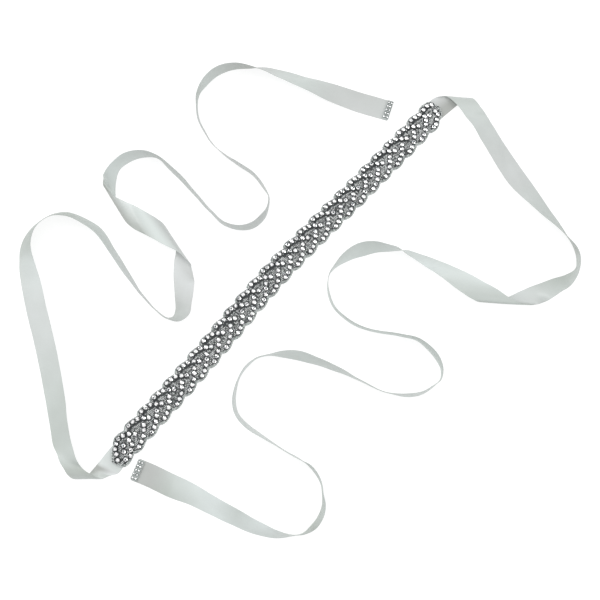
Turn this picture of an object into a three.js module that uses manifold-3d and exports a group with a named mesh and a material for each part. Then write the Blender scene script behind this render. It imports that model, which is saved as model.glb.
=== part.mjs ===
import * as THREE from 'three';
import { mergeVertices } from 'three/addons/utils/BufferGeometryUtils.js';
import Module from 'manifold-3d';

// A bridal sash laid out on a table: a long satin ribbon, a scalloped band of set stones sewn
// along its middle, and a narrow stone trim across each end. Millimetres, +Z up.

const wasm = await Module();
wasm.setup();

// Driving dimensions
const ribbonWidth = 22;
const ribbonWall = 1;
const bandLength = 495;
const bandHalfWidth = 11.6;
const scallopDepth = 3;
const scallopPitch = 18.56;
const firstScallop = 35.5;
const scallopCount = 25;
const braidStop = 476;
const backingThickness = 1.2;
const stoneDiameter = 4.6;
const stoneTopDiameter = 2.6;
const stoneHeight = 2;
const stoneSides = 6;
const trimLength = 21;
const trimWidth = 6.4;
const trimThickness = 1;
const trimPastEnd = 0.8;
const trimStoneDiameter = 3.1;
const trimStoneHeight = 1;
const trimStonePitch = 4.1;
const trimRowPitch = 3.1;
const trimStoneRows = 2;
const trimStonesPerRow = 5;
const seam = 0.3;

// Where the band's left tip and right tip lie on the table, before the part is centred
const bandStart = new THREE.Vector2(-185.5, -162.5);
const bandEnd = new THREE.Vector2(147, 207);

// How far the ribbon runs in under the band's tips
const underBandMargin = 6;

// How far the band bows to the upper left of the straight line between its tips
const bandBow = table('share bow', [
  [0, 0],
  [0.25, 2.3],
  [0.51, 7.5],
  [0.77, 3],
  [1, 0],
]);

// How each edge of the band closes in at each tip. Length is how far from the tip it starts,
// and with a power of 0.5 it closes in as a quarter ellipse, and with 1 as a slanted cut.
const upperTips = {
  left: { length: 24, power: 1 },
  right: { length: 4, power: 0.5 },
};
const lowerTips = {
  left: { length: 6, power: 0.5 },
  right: { length: 19, power: 0.75 },
};

// Each tail is a run of cross-lines from the band to its end. x and y are the middle of the
// cross-line, low is the height of its lower edge, heading is its direction on the table,
// tilt is its rise out of the table, and slant is its angle to a square cut. At a fold the
// cross-lines run along the crease. Angles are in degrees.
const tailColumns = 'x y low heading tilt slant';

const leftTail = {
  from_band: [
    [-182, -160, 0, 135, 0, 0],
    [-189, -169, 0, 155, 0, 10],
    [-198, -176, 1.5, 180, 0, 15],
    [-209, -179, 4.5, 180, 0, 35],
  ],
  side: [
    [-214, -176, 7, 175, 0, 35],
    [-218, -172, 8, 170, 0, 30],
    [-224, -166, 7.5, 165, 0, 15],
    [-228, -159, 5, 165, -15, 0],
    [-233, -148, 2.5, 175, -20, 0],
    [-237, -133, 1, 175, -25, 0],
    [-243, -103, 0, 185, -20, 0],
    [-258, -41, 0, 190, -15, 0],
    [-267, -10, 0, 190, -15, 0],
    [-274, 18, 0, 180, -15, 0],
    [-278, 36, 0, 175, -30, 0],
    [-279, 59, 0, 155, -52, 0],
    [-269, 77, 0, 135, -67, 0],
  ],
  shoulder: [
    [-256, 86, 0, 130, -68, 0],
    [-240, 88, 0, 115, -63, 0],
    [-224, 82, 0, 95, -63, 0],
    [-208, 72, 0, 80, -64, 0],
    [-191, 49, 0, 75, -70, 0],
    [-175, 25, 0, 80, -74, 0],
    [-159, 3, 0, 110, -76, 0],
    [-145, -12, 0, 120, -77, 0],
  ],
  turn: [
    [-132, -21, 0, 115, -75, 0],
    [-125, -21, 0, 130, -60, 0],
    [-119, -14, 0, 150, -40, 0],
    [-118, -1, 0, 165, -30, 0],
    [-118, 16, 0, 175, -15, 0],
    [-119, 31, 0, 147, 0, 23],
    [-119, 43, 1.5, 127, 0, 39],
    [-122, 50, 3, 124, 0, 55],
    [-125.5, 57, 5, 124, 0, 64],
  ],
  lens: [
    [-131.5, 62, 8, 125, 0, 64],
    [-139.5, 68, 10, 126, 0, 62],
    [-149, 73, 11, 124, 0, 61],
    [-159, 78.5, 11, 122, 0, 59],
    [-169, 83.5, 10.5, 118.5, 0, 54],
    [-177.5, 88, 9.5, 117.5, 0, 52.5],
    [-184.5, 93, 7.5, 118.5, 0, 51],
    [-191, 100, 5, 121.5, 0, 55],
  ],
  arch: [
    [-195.5, 108.5, 2, 122, 0, 48],
    [-197, 116, 1, 121, 0, 32],
    [-196, 123, 0, 132, 42, 0],
    [-194, 130, 0, 158, 66, 0],
    [-191, 137, 0, 170, 74, 0],
    [-179, 148, 0, 145, 80, 0],
    [-163, 152, 0, 10, 85, 0],
    [-148, 149, 0, -50, 76, 0],
    [-134, 137, 0, -38, 73, 0],
    [-121, 124, 0, -35, 73, 0],
    [-107, 108, 0, -45, 73, 0],
  ],
  loop: [
    [-92, 91, 0, -50, 75, 0],
    [-78, 78, 0, -45, 80, 0],
    [-62, 73, 0, -50, 87, 0],
    [-46, 77, 0, 160, 86, 0],
    [-38, 85, 0, -150, 80, 0],
    [-33, 95, 0, -100, 75, 0],
    [-32, 105, 0, -90, 75, 0],
    [-38, 117, 0, -65, 75, 0],
    [-48, 130, 0, -60, 78, 0],
    [-65, 142, 0, -58, 75, 0],
    [-79, 152, 0, -65, 70, 0],
  ],
  top: [
    [-89, 161, 0, -80, 70, 0],
    [-98, 174, 0, -85, 70, 0],
    [-106, 191, 0, -85, 70, 0],
    [-108, 205, 0, -85, 70, 0],
    [-107, 218, 0, -100, 70, 0],
    [-100, 231, 0, -135, 75, 0],
    [-86, 244, 0, -165, 83, 0],
    [-69, 249, 0, -80, 84, 0],
    [-52, 248, 0, -80, 73, 0],
    [-40, 247, 0, -85, 60, 0],
  ],
  end: [
    [-23, 242, 0, -100, 47, 0],
    [6, 232, 0, -105, 35, 0],
    [36, 222, 0, -105, 10, 0],
    [65, 212, 0, -108, 0, 0],
    [95, 203, 0, -108, 0, 0],
  ],
};

const rightTail = {
  from_band: [
    [145, 206, 0, -45, 0, 0],
    [154.5, 213.5, 0.5, -21, 0, 24],
    [161, 217, 2, -7, 0, 34],
    [167.5, 217, 4.5, -5, 0, 35],
  ],
  descent: [
    [172.5, 211.5, 7.5, -4, 0, 31],
    [178, 204, 8, -4, 0, 22],
    [183.5, 196, 7.5, 1, 0, 5],
    [189.5, 186, 5.5, 16, -20, 0],
    [197, 174, 3, 35, -18, 0],
    [209, 154, 1, 37, -15, 0],
    [226.5, 126.5, 0, 38, -12, 0],
    [240, 107.5, 0, 39, -30, 0],
    [252, 91, 0, 40, -45, 0],
    [263.5, 77, 0, 45, -59, 0],
    [274, 62, 0, 43, -71, 0],
  ],
  turn: [
    [280.5, 51, 0, 55, -78, 0],
    [282.5, 40.5, 0, 68, -79, 0],
    [281, 29.5, 0, 72, -70, 0],
    [271.5, 19, 0, 90, -50, 0],
    [259.5, 13.5, 0, 105, -39, 0],
    [248, 8, 0, 117, -27, 0],
    [235.5, 3, 0.5, 145, -5, 18],
    [225, -1.5, 1.5, 168, 0, 47],
    [217, -3.5, 3, 175, 0, 59],
    [209, -4.5, 4.6, 176.5, 0, 64],
  ],
  fold: [
    [199, -3, 7.5, 175, 0, 63],
    [188, 3, 8.5, 175, 0, 61],
    [177.5, 10.5, 8, 178.5, 0, 58],
    [168, 17.5, 6, 181.5, 0, 51],
    [157.5, 25, 4, 187, 0, 38],
    [145.5, 31.5, 2, 198, 14, 0],
    [132.5, 37, 1, 212, 38, 0],
    [119, 43.5, 0, 225, 56, 0],
    [107.5, 48.5, 0, 240, 67, 0],
  ],
  lens: [
    [100.5, 50.5, 0, 213, 80, 0],
    [92.5, 51.5, 0, 149, 84, 0],
    [78, 53, 0, 120, 70, 0],
    [62.5, 50.5, 0, 117, 63, 0],
    [46.5, 42, 0, 163, 70, 0],
    [36, 33, 0, 220, 80, 0],
  ],
  bend: [
    [30, 25, 0, -105, 78, 0],
    [28, 15, 0, -90, 78, 0],
    [29, 4, 0, -75, 80, 0],
    [34, -9, 0, -70, 83, 0],
    [46, -21, 0, -85, 86, 0],
    [64, -31, 0, -110, 86, 0],
    [82, -35, 0, -140, 85, 0],
    [101, -38, 0, -150, 85, 0],
    [119, -43, 0, -165, 88, 0],
    [131, -53, 0, 5, 88, 0],
    [139, -63, 0, -40, 86, 0],
  ],
  arch: [
    [140, -74, 0, -100, 83, 0],
    [139, -83, 0, -130, 81, 0],
    [132, -89, 0, -160, 81, 0],
    [120, -96, 0, 165, 83, 0],
    [103, -98, 0, 165, 83, 0],
    [89, -96, 0, -150, 83, 0],
    [57, -82, 0, -95, 87, 0],
    [39, -73, 0, 35, 84, 0],
    [19, -65, 0, 55, 78, 0],
    [1, -59, 0, 75, 72, 0],
    [-17, -57, 0, 75, 80, 0],
    [-31, -58, 0, -75, 86, 0],
  ],
  hook: [
    [-43, -61, 0, -80, 84, 0],
    [-52, -68, 0, -120, 83, 0],
    [-60, -80, 0, -100, 83, 0],
    [-64, -92, 0, -120, 84, 0],
    [-65, -105, 0, -135, 83, 0],
    [-63, -115, 0, -125, 81, 0],
    [-51, -129, 0, -115, 78, 0],
    [-34, -140, 0, -100, 82, 0],
    [-17, -151, 0, -95, 86, 0],
    [-1, -160, 0, -100, 86, 0],
    [10, -167, 0, 15, 86, 0],
  ],
  loop: [
    [17, -176, 0, 20, 86, 0],
    [21, -185, 0, 20, 88, 0],
    [22, -193, 0, 15, 88, 0],
    [23, -205, 0, 15, 82, 0],
    [20, -215, 0, 0, 77, 0],
    [13, -225, 0, -40, 77, 0],
    [4, -231, 0, -45, 87, 0],
  ],
  end: [
    [-9, -233, 0, 105, 83, 0],
    [-21, -232, 0, 90, 70, 0],
    [-36, -228, 0, 70, 57, 0],
    [-63, -216, 0, 60, 42, 0],
    [-83, -206, 0, 60, 36, 0],
    [-104, -195, 0, 62, 26, 0],
    [-128, -185, 0, 68, 0, 0],
    [-147, -176, 0, 68, 0, 0],
    [-162, -170, 0, 68, 0, 0],
  ],
};

// The stones of one braid repeat, measured along and across the band from its scallop's first stone
const braidStones = table('along across', [
  [1, 11.3],
  [6.5, 10.6],
  [11.7, 9.1],
  [16.3, 5.1],
  [20.2, 1.5],
  [-7, -10.6],
  [-1.7, -9.2],
  [3.4, -6.8],
  [8.2, -3.2],
  [11.7, 0.2],
]);

// The closed cluster at the band's left tip, measured from that tip
const leftCluster = table('along across', [
  [5.1, -3.9],
  [8.4, 1.1],
  [11.1, 5.5],
  [15.6, 8.4],
  [20.3, 9.9],
  [10.7, -9.3],
  [16.6, -10.6],
  [20.9, -7],
  [25.6, -4],
  [15.1, -2.7],
  [19.1, 1.6],
  [25.8, 8.6],
  [30.9, 5.3],
  [35, 0.6],
  [26.4, 1.1],
]);

// The closing stones at the band's right tip, measured from that tip
const rightCluster = table('along across', [
  [-17.2, -10.5],
  [-12.7, -7.6],
  [-7.6, -4.5],
  [-6.9, 0.1],
  [-14, 9.9],
  [-8.1, 9.8],
  [-3.9, 7.4],
  [-18.6, 4.1],
  [-14.4, 1.1],
]);

const satin = new THREE.Color('#dfe5e2');
const crystal = new THREE.Color('#f2f4f4');
const backingGrey = new THREE.Color('#8f9492');

// Rows under named columns
function table(columns, rows) {
  const names = columns.split(' ');
  return rows.map((row) => Object.fromEntries(names.map((name, k) => [name, row[k]])));
}

function material(color, roughness, metalness) {
  return new THREE.MeshStandardMaterial({ color, roughness, metalness });
}

// A smooth curve through rows of values, each with its own place along the run
function smoothThrough(places, values) {
  const last = places.length - 1;
  const slopes = values.map((row, k) => {
    const before = Math.max(k - 1, 0);
    const after = Math.min(k + 1, last);
    const left = places[k] - places[before] || 1;
    const right = places[after] - places[k] || 1;
    return row.map((value, c) => {
      const rise = (value - values[before][c]) / left;
      const next = (values[after][c] - value) / right;
      if (k === 0) return next;
      if (k === last) return rise;
      return (rise * right + next * left) / (left + right);
    });
  });
  return (place) => {
    let k = places.findIndex((end, j) => j > 0 && place <= end) - 1;
    if (k < 0) k = last - 1;
    const span = places[k + 1] - places[k];
    const t = (place - places[k]) / span;
    const fromValue = 2 * t ** 3 - 3 * t ** 2 + 1;
    const fromSlope = (t ** 3 - 2 * t ** 2 + t) * span;
    const toValue = 3 * t ** 2 - 2 * t ** 3;
    const toSlope = (t ** 3 - t ** 2) * span;
    return values[k].map((value, c) => fromValue * value + fromSlope * slopes[k][c]
      + toValue * values[k + 1][c] + toSlope * slopes[k + 1][c]);
  };
}

// Half of the cross-line of one row, as a vector from its middle to its second edge
function halfCrossLine({ heading, tilt, slant }) {
  const { degToRad } = THREE.MathUtils;
  const half = ribbonWidth / 2 / Math.cos(degToRad(slant));
  return new THREE.Vector3(
    half * Math.cos(degToRad(tilt)) * Math.cos(degToRad(heading)),
    half * Math.cos(degToRad(tilt)) * Math.sin(degToRad(heading)),
    half * Math.sin(degToRad(tilt)),
  );
}

// One cross-section of the ribbon's wall at a place along a tail: its four corners, set so
// that the lowest of them is at the height the tail gives there
function sectionAt(tail, place) {
  const step = 1;
  const softening = 2;
  const middle = (where) => {
    const [x, y, low, , , rise] = tail.at(where);
    return new THREE.Vector3(x, y, Math.max(low, 0) + Math.hypot(rise, softening));
  };
  const from = Math.max(place - step, 0);
  const to = Math.min(place + step, tail.length);
  const along = middle(to).sub(middle(from)).normalize();
  const [x, y, low, acrossX, acrossY, acrossZ, half] = tail.at(place);
  const across = new THREE.Vector3(acrossX, acrossY, acrossZ).setLength(half);
  const out = new THREE.Vector3().crossVectors(along, across).setLength(ribbonWall / 2);
  const corners = [[-1, -1], [1, -1], [1, 1], [-1, 1]].map(([side, face]) => (
    new THREE.Vector3(x, y, 0).addScaledVector(across, side).addScaledVector(out, face)));
  const lift = Math.max(low, 0) - Math.min(...corners.map((corner) => corner.z));
  corners.forEach((corner) => { corner.z += lift; });
  return corners;
}

// A tail as one smooth run, with the places where its stretches begin
function makeTail(stretches) {
  const rows = Object.values(stretches).flatMap((part) => table(tailColumns, part));
  const places = [0];
  for (let k = 1; k < rows.length; k += 1) {
    const move = Math.hypot(rows[k].x - rows[k - 1].x, rows[k].y - rows[k - 1].y,
      rows[k].low - rows[k - 1].low);
    places.push(places[k - 1] + move);
  }
  const values = rows.map((row) => {
    const half = halfCrossLine(row);
    return [row.x, row.y, row.low, half.x, half.y, half.z, half.length()];
  });
  const starts = [];
  let count = 0;
  for (const part of Object.values(stretches)) {
    starts.push(places[count]);
    count += part.length;
  }
  return { at: smoothThrough(places, values), length: places.at(-1), places, starts };
}

// A closed wall through cross-sections of four corners
function wallThrough(sections) {
  const positions = sections.flat().flatMap((corner) => corner.toArray());
  const indices = [0, 3, 2, 0, 2, 1];
  for (let k = 0; k + 1 < sections.length; k += 1) {
    for (let side = 0; side < 4; side += 1) {
      const a = 4 * k + side;
      const b = 4 * k + (side + 1) % 4;
      indices.push(a, b, b + 4, a, b + 4, a + 4);
    }
  }
  const end = 4 * (sections.length - 1);
  indices.push(end, end + 1, end + 2, end, end + 2, end + 3);
  const geometry = new THREE.BufferGeometry();
  geometry.setAttribute('position', new THREE.Float32BufferAttribute(positions, 3));
  geometry.setIndex(indices);
  return geometry;
}

// The wall of one stretch of a tail, with more cross-sections where its rows are close
function stretchGeometry(tail, start, end) {
  const longest = 5.5;
  const clearOfEnds = 1;
  const between = tail.places.filter((place) => (
    place > start + clearOfEnds && place < end - clearOfEnds));
  const stops = [start, ...between, end];
  const sections = [sectionAt(tail, start)];
  for (let k = 1; k < stops.length; k += 1) {
    const steps = Math.max(2, Math.ceil((stops[k] - stops[k - 1]) / longest));
    for (let j = 1; j <= steps; j += 1) {
      sections.push(sectionAt(tail, THREE.MathUtils.lerp(stops[k - 1], stops[k], j / steps)));
    }
  }
  return wallThrough(sections);
}

function solidOf(geometry) {
  geometry.deleteAttribute('normal');
  geometry.deleteAttribute('uv');
  const merged = mergeVertices(geometry, 1e-4);
  return new wasm.Manifold(new wasm.Mesh({
    numProp: 3,
    vertProperties: new Float32Array(merged.attributes.position.array),
    triVerts: new Uint32Array(merged.index.array),
  }));
}

function geometryOf(solid) {
  const mesh = solid.getMesh();
  const geometry = new THREE.BufferGeometry();
  geometry.setAttribute('position', new THREE.BufferAttribute(mesh.vertProperties, 3));
  geometry.setIndex(new THREE.BufferAttribute(mesh.triVerts, 1));
  return geometry;
}

const bowAt = smoothThrough(bandBow.map((row) => row.share), bandBow.map((row) => [row.bow]));

// The place on the table of a point along and across the band, with across to the upper left
function onBand(along, across) {
  const line = bandEnd.clone().sub(bandStart);
  const square = new THREE.Vector2(-line.y, line.x).normalize();
  const share = along / bandLength;
  const [bow] = bowAt(THREE.MathUtils.clamp(share, 0, 1));
  return bandStart.clone().addScaledVector(line, share).addScaledVector(square, bow + across);
}

// How far the scallops reach from the band's middle line. A scallop swells quickly after its
// notch and falls away slowly; skew sets how quickly.
function scallopReach(along, firstNotch, skew) {
  const phase = THREE.MathUtils.euclideanModulo((along - firstNotch) / scallopPitch, 1);
  return bandHalfWidth + scallopDepth * Math.sin(Math.PI * phase ** skew);
}

// The share of its reach that an edge keeps near the tips
function tipRounding(along, { left, right }) {
  const fromLeft = Math.min(along / left.length, 1);
  const fromRight = Math.min((bandLength - along) / right.length, 1);
  return (1 - (1 - fromLeft) ** 2) ** left.power * (1 - (1 - fromRight) ** 2) ** right.power;
}

// The scalloped outline, with its points a little closer together towards the tips
function bandOutline() {
  const steps = 250;
  const closerAtTips = 0.12;
  const upperNotch = firstScallop - 5;
  const lowerNotch = firstScallop + 3.4;
  const upperSkew = 0.6;
  const lowerSkew = 0.8;
  const upper = [];
  const lower = [];
  for (let k = 0; k <= steps; k += 1) {
    const share = k / steps;
    const eased = (1 - Math.cos(Math.PI * share)) / 2;
    const along = bandLength * THREE.MathUtils.lerp(share, eased, closerAtTips);
    const above = tipRounding(along, upperTips) * scallopReach(along, upperNotch, upperSkew);
    const below = tipRounding(along, lowerTips) * scallopReach(along, lowerNotch, lowerSkew);
    upper.push(onBand(along, above));
    if (k > 0 && k < steps) lower.push(onBand(along, -below));
  }
  return [...lower, ...upper.reverse()];
}

// A stone in its setting: a drum with sloping sides, sunk a little into what carries it
function stoneSolid(place, floor, diameter, topDiameter, height) {
  const sunk = 0.3;
  const tall = height + sunk;
  const drum = new THREE.CylinderGeometry(topDiameter / 2, diameter / 2, tall, stoneSides);
  drum.rotateX(Math.PI / 2);
  drum.translate(place.x, place.y, floor + (height - sunk) / 2);
  return solidOf(drum);
}

function flatPlate(outline, floor, thickness) {
  const options = { depth: thickness, bevelEnabled: false };
  const plate = new THREE.ExtrudeGeometry(new THREE.Shape(outline), options);
  plate.translate(0, 0, floor);
  return solidOf(plate);
}

// The band over the ribbon: a scalloped backing with its stones, raised as one piece
function makeApplique() {
  const floor = ribbonWall + seam;
  const top = floor + backingThickness;
  const places = leftCluster.map(({ along, across }) => onBand(along, across));
  for (let k = 0; k < scallopCount; k += 1) {
    for (const { along, across } of braidStones) {
      const reach = firstScallop + k * scallopPitch + along;
      if (reach < braidStop) places.push(onBand(reach, across));
    }
  }
  places.push(...rightCluster.map(({ along, across }) => onBand(bandLength + along, across)));
  const stones = places.map((place) => (
    stoneSolid(place, top, stoneDiameter, stoneTopDiameter, stoneHeight)));
  const backing = flatPlate(bandOutline(), floor, backingThickness);
  return geometryOf(wasm.Manifold.union([backing, ...stones]));
}

// The middle stretch of the ribbon, flat on the table under the band
function makeUnderBand() {
  const steps = 24;
  const half = ribbonWidth / 2;
  const upper = [];
  const lower = [];
  for (let k = 0; k <= steps; k += 1) {
    const along = underBandMargin + ((bandLength - 2 * underBandMargin) * k) / steps;
    upper.push(onBand(along, half));
    lower.push(onBand(along, -half));
  }
  return geometryOf(flatPlate([...lower, ...upper.reverse()], 0, ribbonWall));
}

// The narrow trim across a tail's end, two rows of small stones on a strip
function makeTrim(tail) {
  const [x, y, , acrossX, acrossY] = tail.at(tail.length);
  const [beforeX, beforeY] = tail.at(tail.length - 1);
  const across = new THREE.Vector2(acrossX, acrossY).normalize();
  const inward = new THREE.Vector2(beforeX - x, beforeY - y).normalize();
  const place = (back, aside) => (
    new THREE.Vector2(x, y).addScaledVector(inward, back).addScaledVector(across, aside));
  const floor = ribbonWall + seam;
  const corners = [[-1, 0], [1, 0], [1, 1], [-1, 1]].map(([side, back]) => (
    place(back * trimWidth - trimPastEnd, (side * trimLength) / 2)));
  const top = floor + trimThickness;
  const stones = [];
  for (let row = 0; row < trimStoneRows; row += 1) {
    for (let k = 0; k < trimStonesPerRow; k += 1) {
      const back = trimWidth / 2 - trimPastEnd
        + (row - (trimStoneRows - 1) / 2) * trimRowPitch;
      const aside = (k - (trimStonesPerRow - 1) / 2) * trimStonePitch;
      stones.push(stoneSolid(place(back, aside), top, trimStoneDiameter,
        trimStoneDiameter / 2, trimStoneHeight));
    }
  }
  const isLeftHanded = THREE.ShapeUtils.isClockWise(corners);
  const strip = flatPlate(isLeftHanded ? corners.reverse() : corners, floor, trimThickness);
  return geometryOf(wasm.Manifold.union([strip, ...stones]));
}

const group = new THREE.Group();

function addPiece(name, geometry, surface) {
  const mesh = new THREE.Mesh(geometry, surface);
  mesh.name = name;
  group.add(mesh);
}

addPiece('ribbon_under_band', makeUnderBand(), material(satin, 0.4, 0));
addPiece('stone_band', makeApplique(), material(crystal, 0.2, 0));
for (const [side, stretches] of Object.entries({ left: leftTail, right: rightTail })) {
  const tail = makeTail(stretches);
  Object.keys(stretches).forEach((name, k) => {
    const start = tail.starts[k] + seam / 2;
    const end = (tail.starts[k + 1] ?? tail.length + seam / 2) - seam / 2;
    const stretch = stretchGeometry(tail, start, end);
    addPiece(`ribbon_${side}_${k + 1}_${name}`, stretch, material(satin, 0.4, 0));
  });
  addPiece(`stone_trim_${side}`, makeTrim(tail), material(backingGrey, 0.3, 0));
}

// The origin is under the middle of the whole sash, on the table
const box = new THREE.Box3().setFromObject(group);
const centre = box.getCenter(new THREE.Vector3());
group.position.set(-centre.x, -centre.y, -box.min.z);

export default group;
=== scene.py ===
"""A bridal sash laid out on a table.

One long satin ribbon curls away to both sides of a scalloped band of claw-set crystals and seed
beads, and a narrow crystal trim closes each of its ends. Shapes are worked out in millimetres on
the table, with the photograph's middle as their zero, and are moved to the frame's metres as
each mesh is made.
"""

import logging
import math
from collections.abc import Iterator
from dataclasses import dataclass, field
from enum import Enum, IntEnum
from typing import Any

import bpy
import numpy as np
from bpy.types import Material, Node, NodeSocket, NodeTree, Object
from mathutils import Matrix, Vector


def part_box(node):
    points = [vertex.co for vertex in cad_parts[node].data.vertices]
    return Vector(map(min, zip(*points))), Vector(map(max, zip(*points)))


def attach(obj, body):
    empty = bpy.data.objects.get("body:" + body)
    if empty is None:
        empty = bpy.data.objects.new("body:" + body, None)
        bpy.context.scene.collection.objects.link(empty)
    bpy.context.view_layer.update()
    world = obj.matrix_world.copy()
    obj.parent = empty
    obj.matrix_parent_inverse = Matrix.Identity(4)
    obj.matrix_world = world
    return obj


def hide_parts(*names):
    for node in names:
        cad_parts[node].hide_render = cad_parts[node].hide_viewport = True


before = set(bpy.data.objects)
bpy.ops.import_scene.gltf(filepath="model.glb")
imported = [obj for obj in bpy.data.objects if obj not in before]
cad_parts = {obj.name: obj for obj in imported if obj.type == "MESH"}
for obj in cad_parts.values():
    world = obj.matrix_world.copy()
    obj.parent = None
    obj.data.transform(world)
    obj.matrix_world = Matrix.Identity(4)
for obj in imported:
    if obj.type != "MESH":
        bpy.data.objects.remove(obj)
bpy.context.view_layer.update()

MM = 0.001
BODY = "root"
log = logging.getLogger("bridal_sash")

Array = np.ndarray
Rows = list[tuple[float, ...]]

# Each tail is a run of cross-lines from the band to its end. x and y are the middle of the
# cross-line, low is the height of its lower edge, heading is its direction on the table, tilt
# is its rise out of the table, and slant is its angle to a square cut, where it isn't 0. At a
# fold the cross-lines run along the crease. Millimetres and degrees.
LEFT_TAIL: dict[str, Rows] = {
    "from_band": [
        (-182, -160, 0, 135, 0), (-189, -169, 0, 155, 0, 10), (-198, -176, 1.5, 180, 0, 15),
        (-209, -179, 4.5, 180, 0, 35),
    ],
    "side": [
        (-214, -176, 7, 175, 0, 35), (-218, -172, 8, 170, 0, 30), (-224, -166, 7.5, 165, 0, 15),
        (-228, -159, 5, 165, -15), (-233, -148, 2.5, 175, -20), (-237, -133, 1, 175, -25),
        (-243, -103, 0, 185, -20), (-258, -41, 0, 190, -15), (-267, -10, 0, 190, -15),
        (-274, 18, 0, 180, -15), (-278, 36, 0, 175, -30), (-279, 59, 0, 155, -52),
        (-269, 77, 0, 135, -67),
    ],
    "shoulder": [
        (-256, 86, 0, 130, -68), (-240, 88, 0, 115, -63), (-224, 82, 0, 95, -63),
        (-208, 72, 0, 80, -64), (-191, 49, 0, 75, -70), (-175, 25, 0, 80, -74), (-159, 3, 0, 110, -76),
        (-145, -12, 0, 120, -77),
    ],
    "turn": [
        (-132, -21, 0, 115, -75), (-125, -21, 0, 130, -60), (-119, -14, 0, 150, -40),
        (-118, -1, 0, 165, -30), (-118, 16, 0, 175, -15), (-119, 31, 0, 147, 0, 23),
        (-119, 43, 1.5, 127, 0, 39), (-122, 50, 3, 124, 0, 55), (-125.5, 57, 5, 124, 0, 64),
    ],
    "lens": [
        (-131.5, 62, 8, 125, 0, 64), (-139.5, 68, 10, 126, 0, 62), (-149, 73, 11, 124, 0, 61),
        (-159, 78.5, 11, 122, 0, 59), (-169, 83.5, 10.5, 118.5, 0, 54),
        (-177.5, 88, 9.5, 117.5, 0, 52.5), (-184.5, 93, 7.5, 118.5, 0, 51),
        (-191, 100, 5, 121.5, 0, 55),
    ],
    "arch": [
        (-195.9, 108.7, 2, 122, 0, 48), (-197.9, 117, 1, 120, 0, 33), (-196.7, 123, 0, 128, 45),
        (-194.7, 130, 0, 152, 69), (-191.5, 137, 0, 168, 76.5), (-179, 148, 0, 145, 80),
        (-163, 152, 0, 10, 85), (-148, 149, 0, -50, 76), (-134, 137, 0, -38, 73),
        (-121, 124, 0, -35, 73), (-107, 108, 0, -45, 73),
    ],
    "loop": [
        (-92, 91, 0, -50, 75), (-78, 78, 0, -45, 80), (-62, 73, 0, -50, 87), (-46, 77, 0, 160, 86),
        (-38, 85, 0, -150, 80), (-33, 95, 0, -100, 75), (-32, 105, 0, -90, 75), (-38, 117, 0, -65, 75),
        (-48, 130, 0, -60, 78), (-65, 142, 0, -58, 75), (-79, 152, 0, -65, 70),
    ],
    "top": [
        (-89, 161, 0, -80, 70), (-98, 174, 0, -85, 70), (-106, 191, 0, -85, 70),
        (-108, 205, 0, -85, 70), (-107, 218, 0, -100, 70), (-100, 231, 0, -135, 75),
        (-86, 244, 0, -165, 83), (-69, 249, 0, -80, 84), (-52, 248, 0, -80, 73), (-40, 247, 0, -85, 60),
    ],
    "end": [
        (-23, 242, 0, -100, 47), (6, 232, 0, -105, 35), (36, 222, 0, -105, 10), (65, 212, 0, -108, 0),
        (95, 203, 0, -108, 0),
    ],
}

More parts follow.
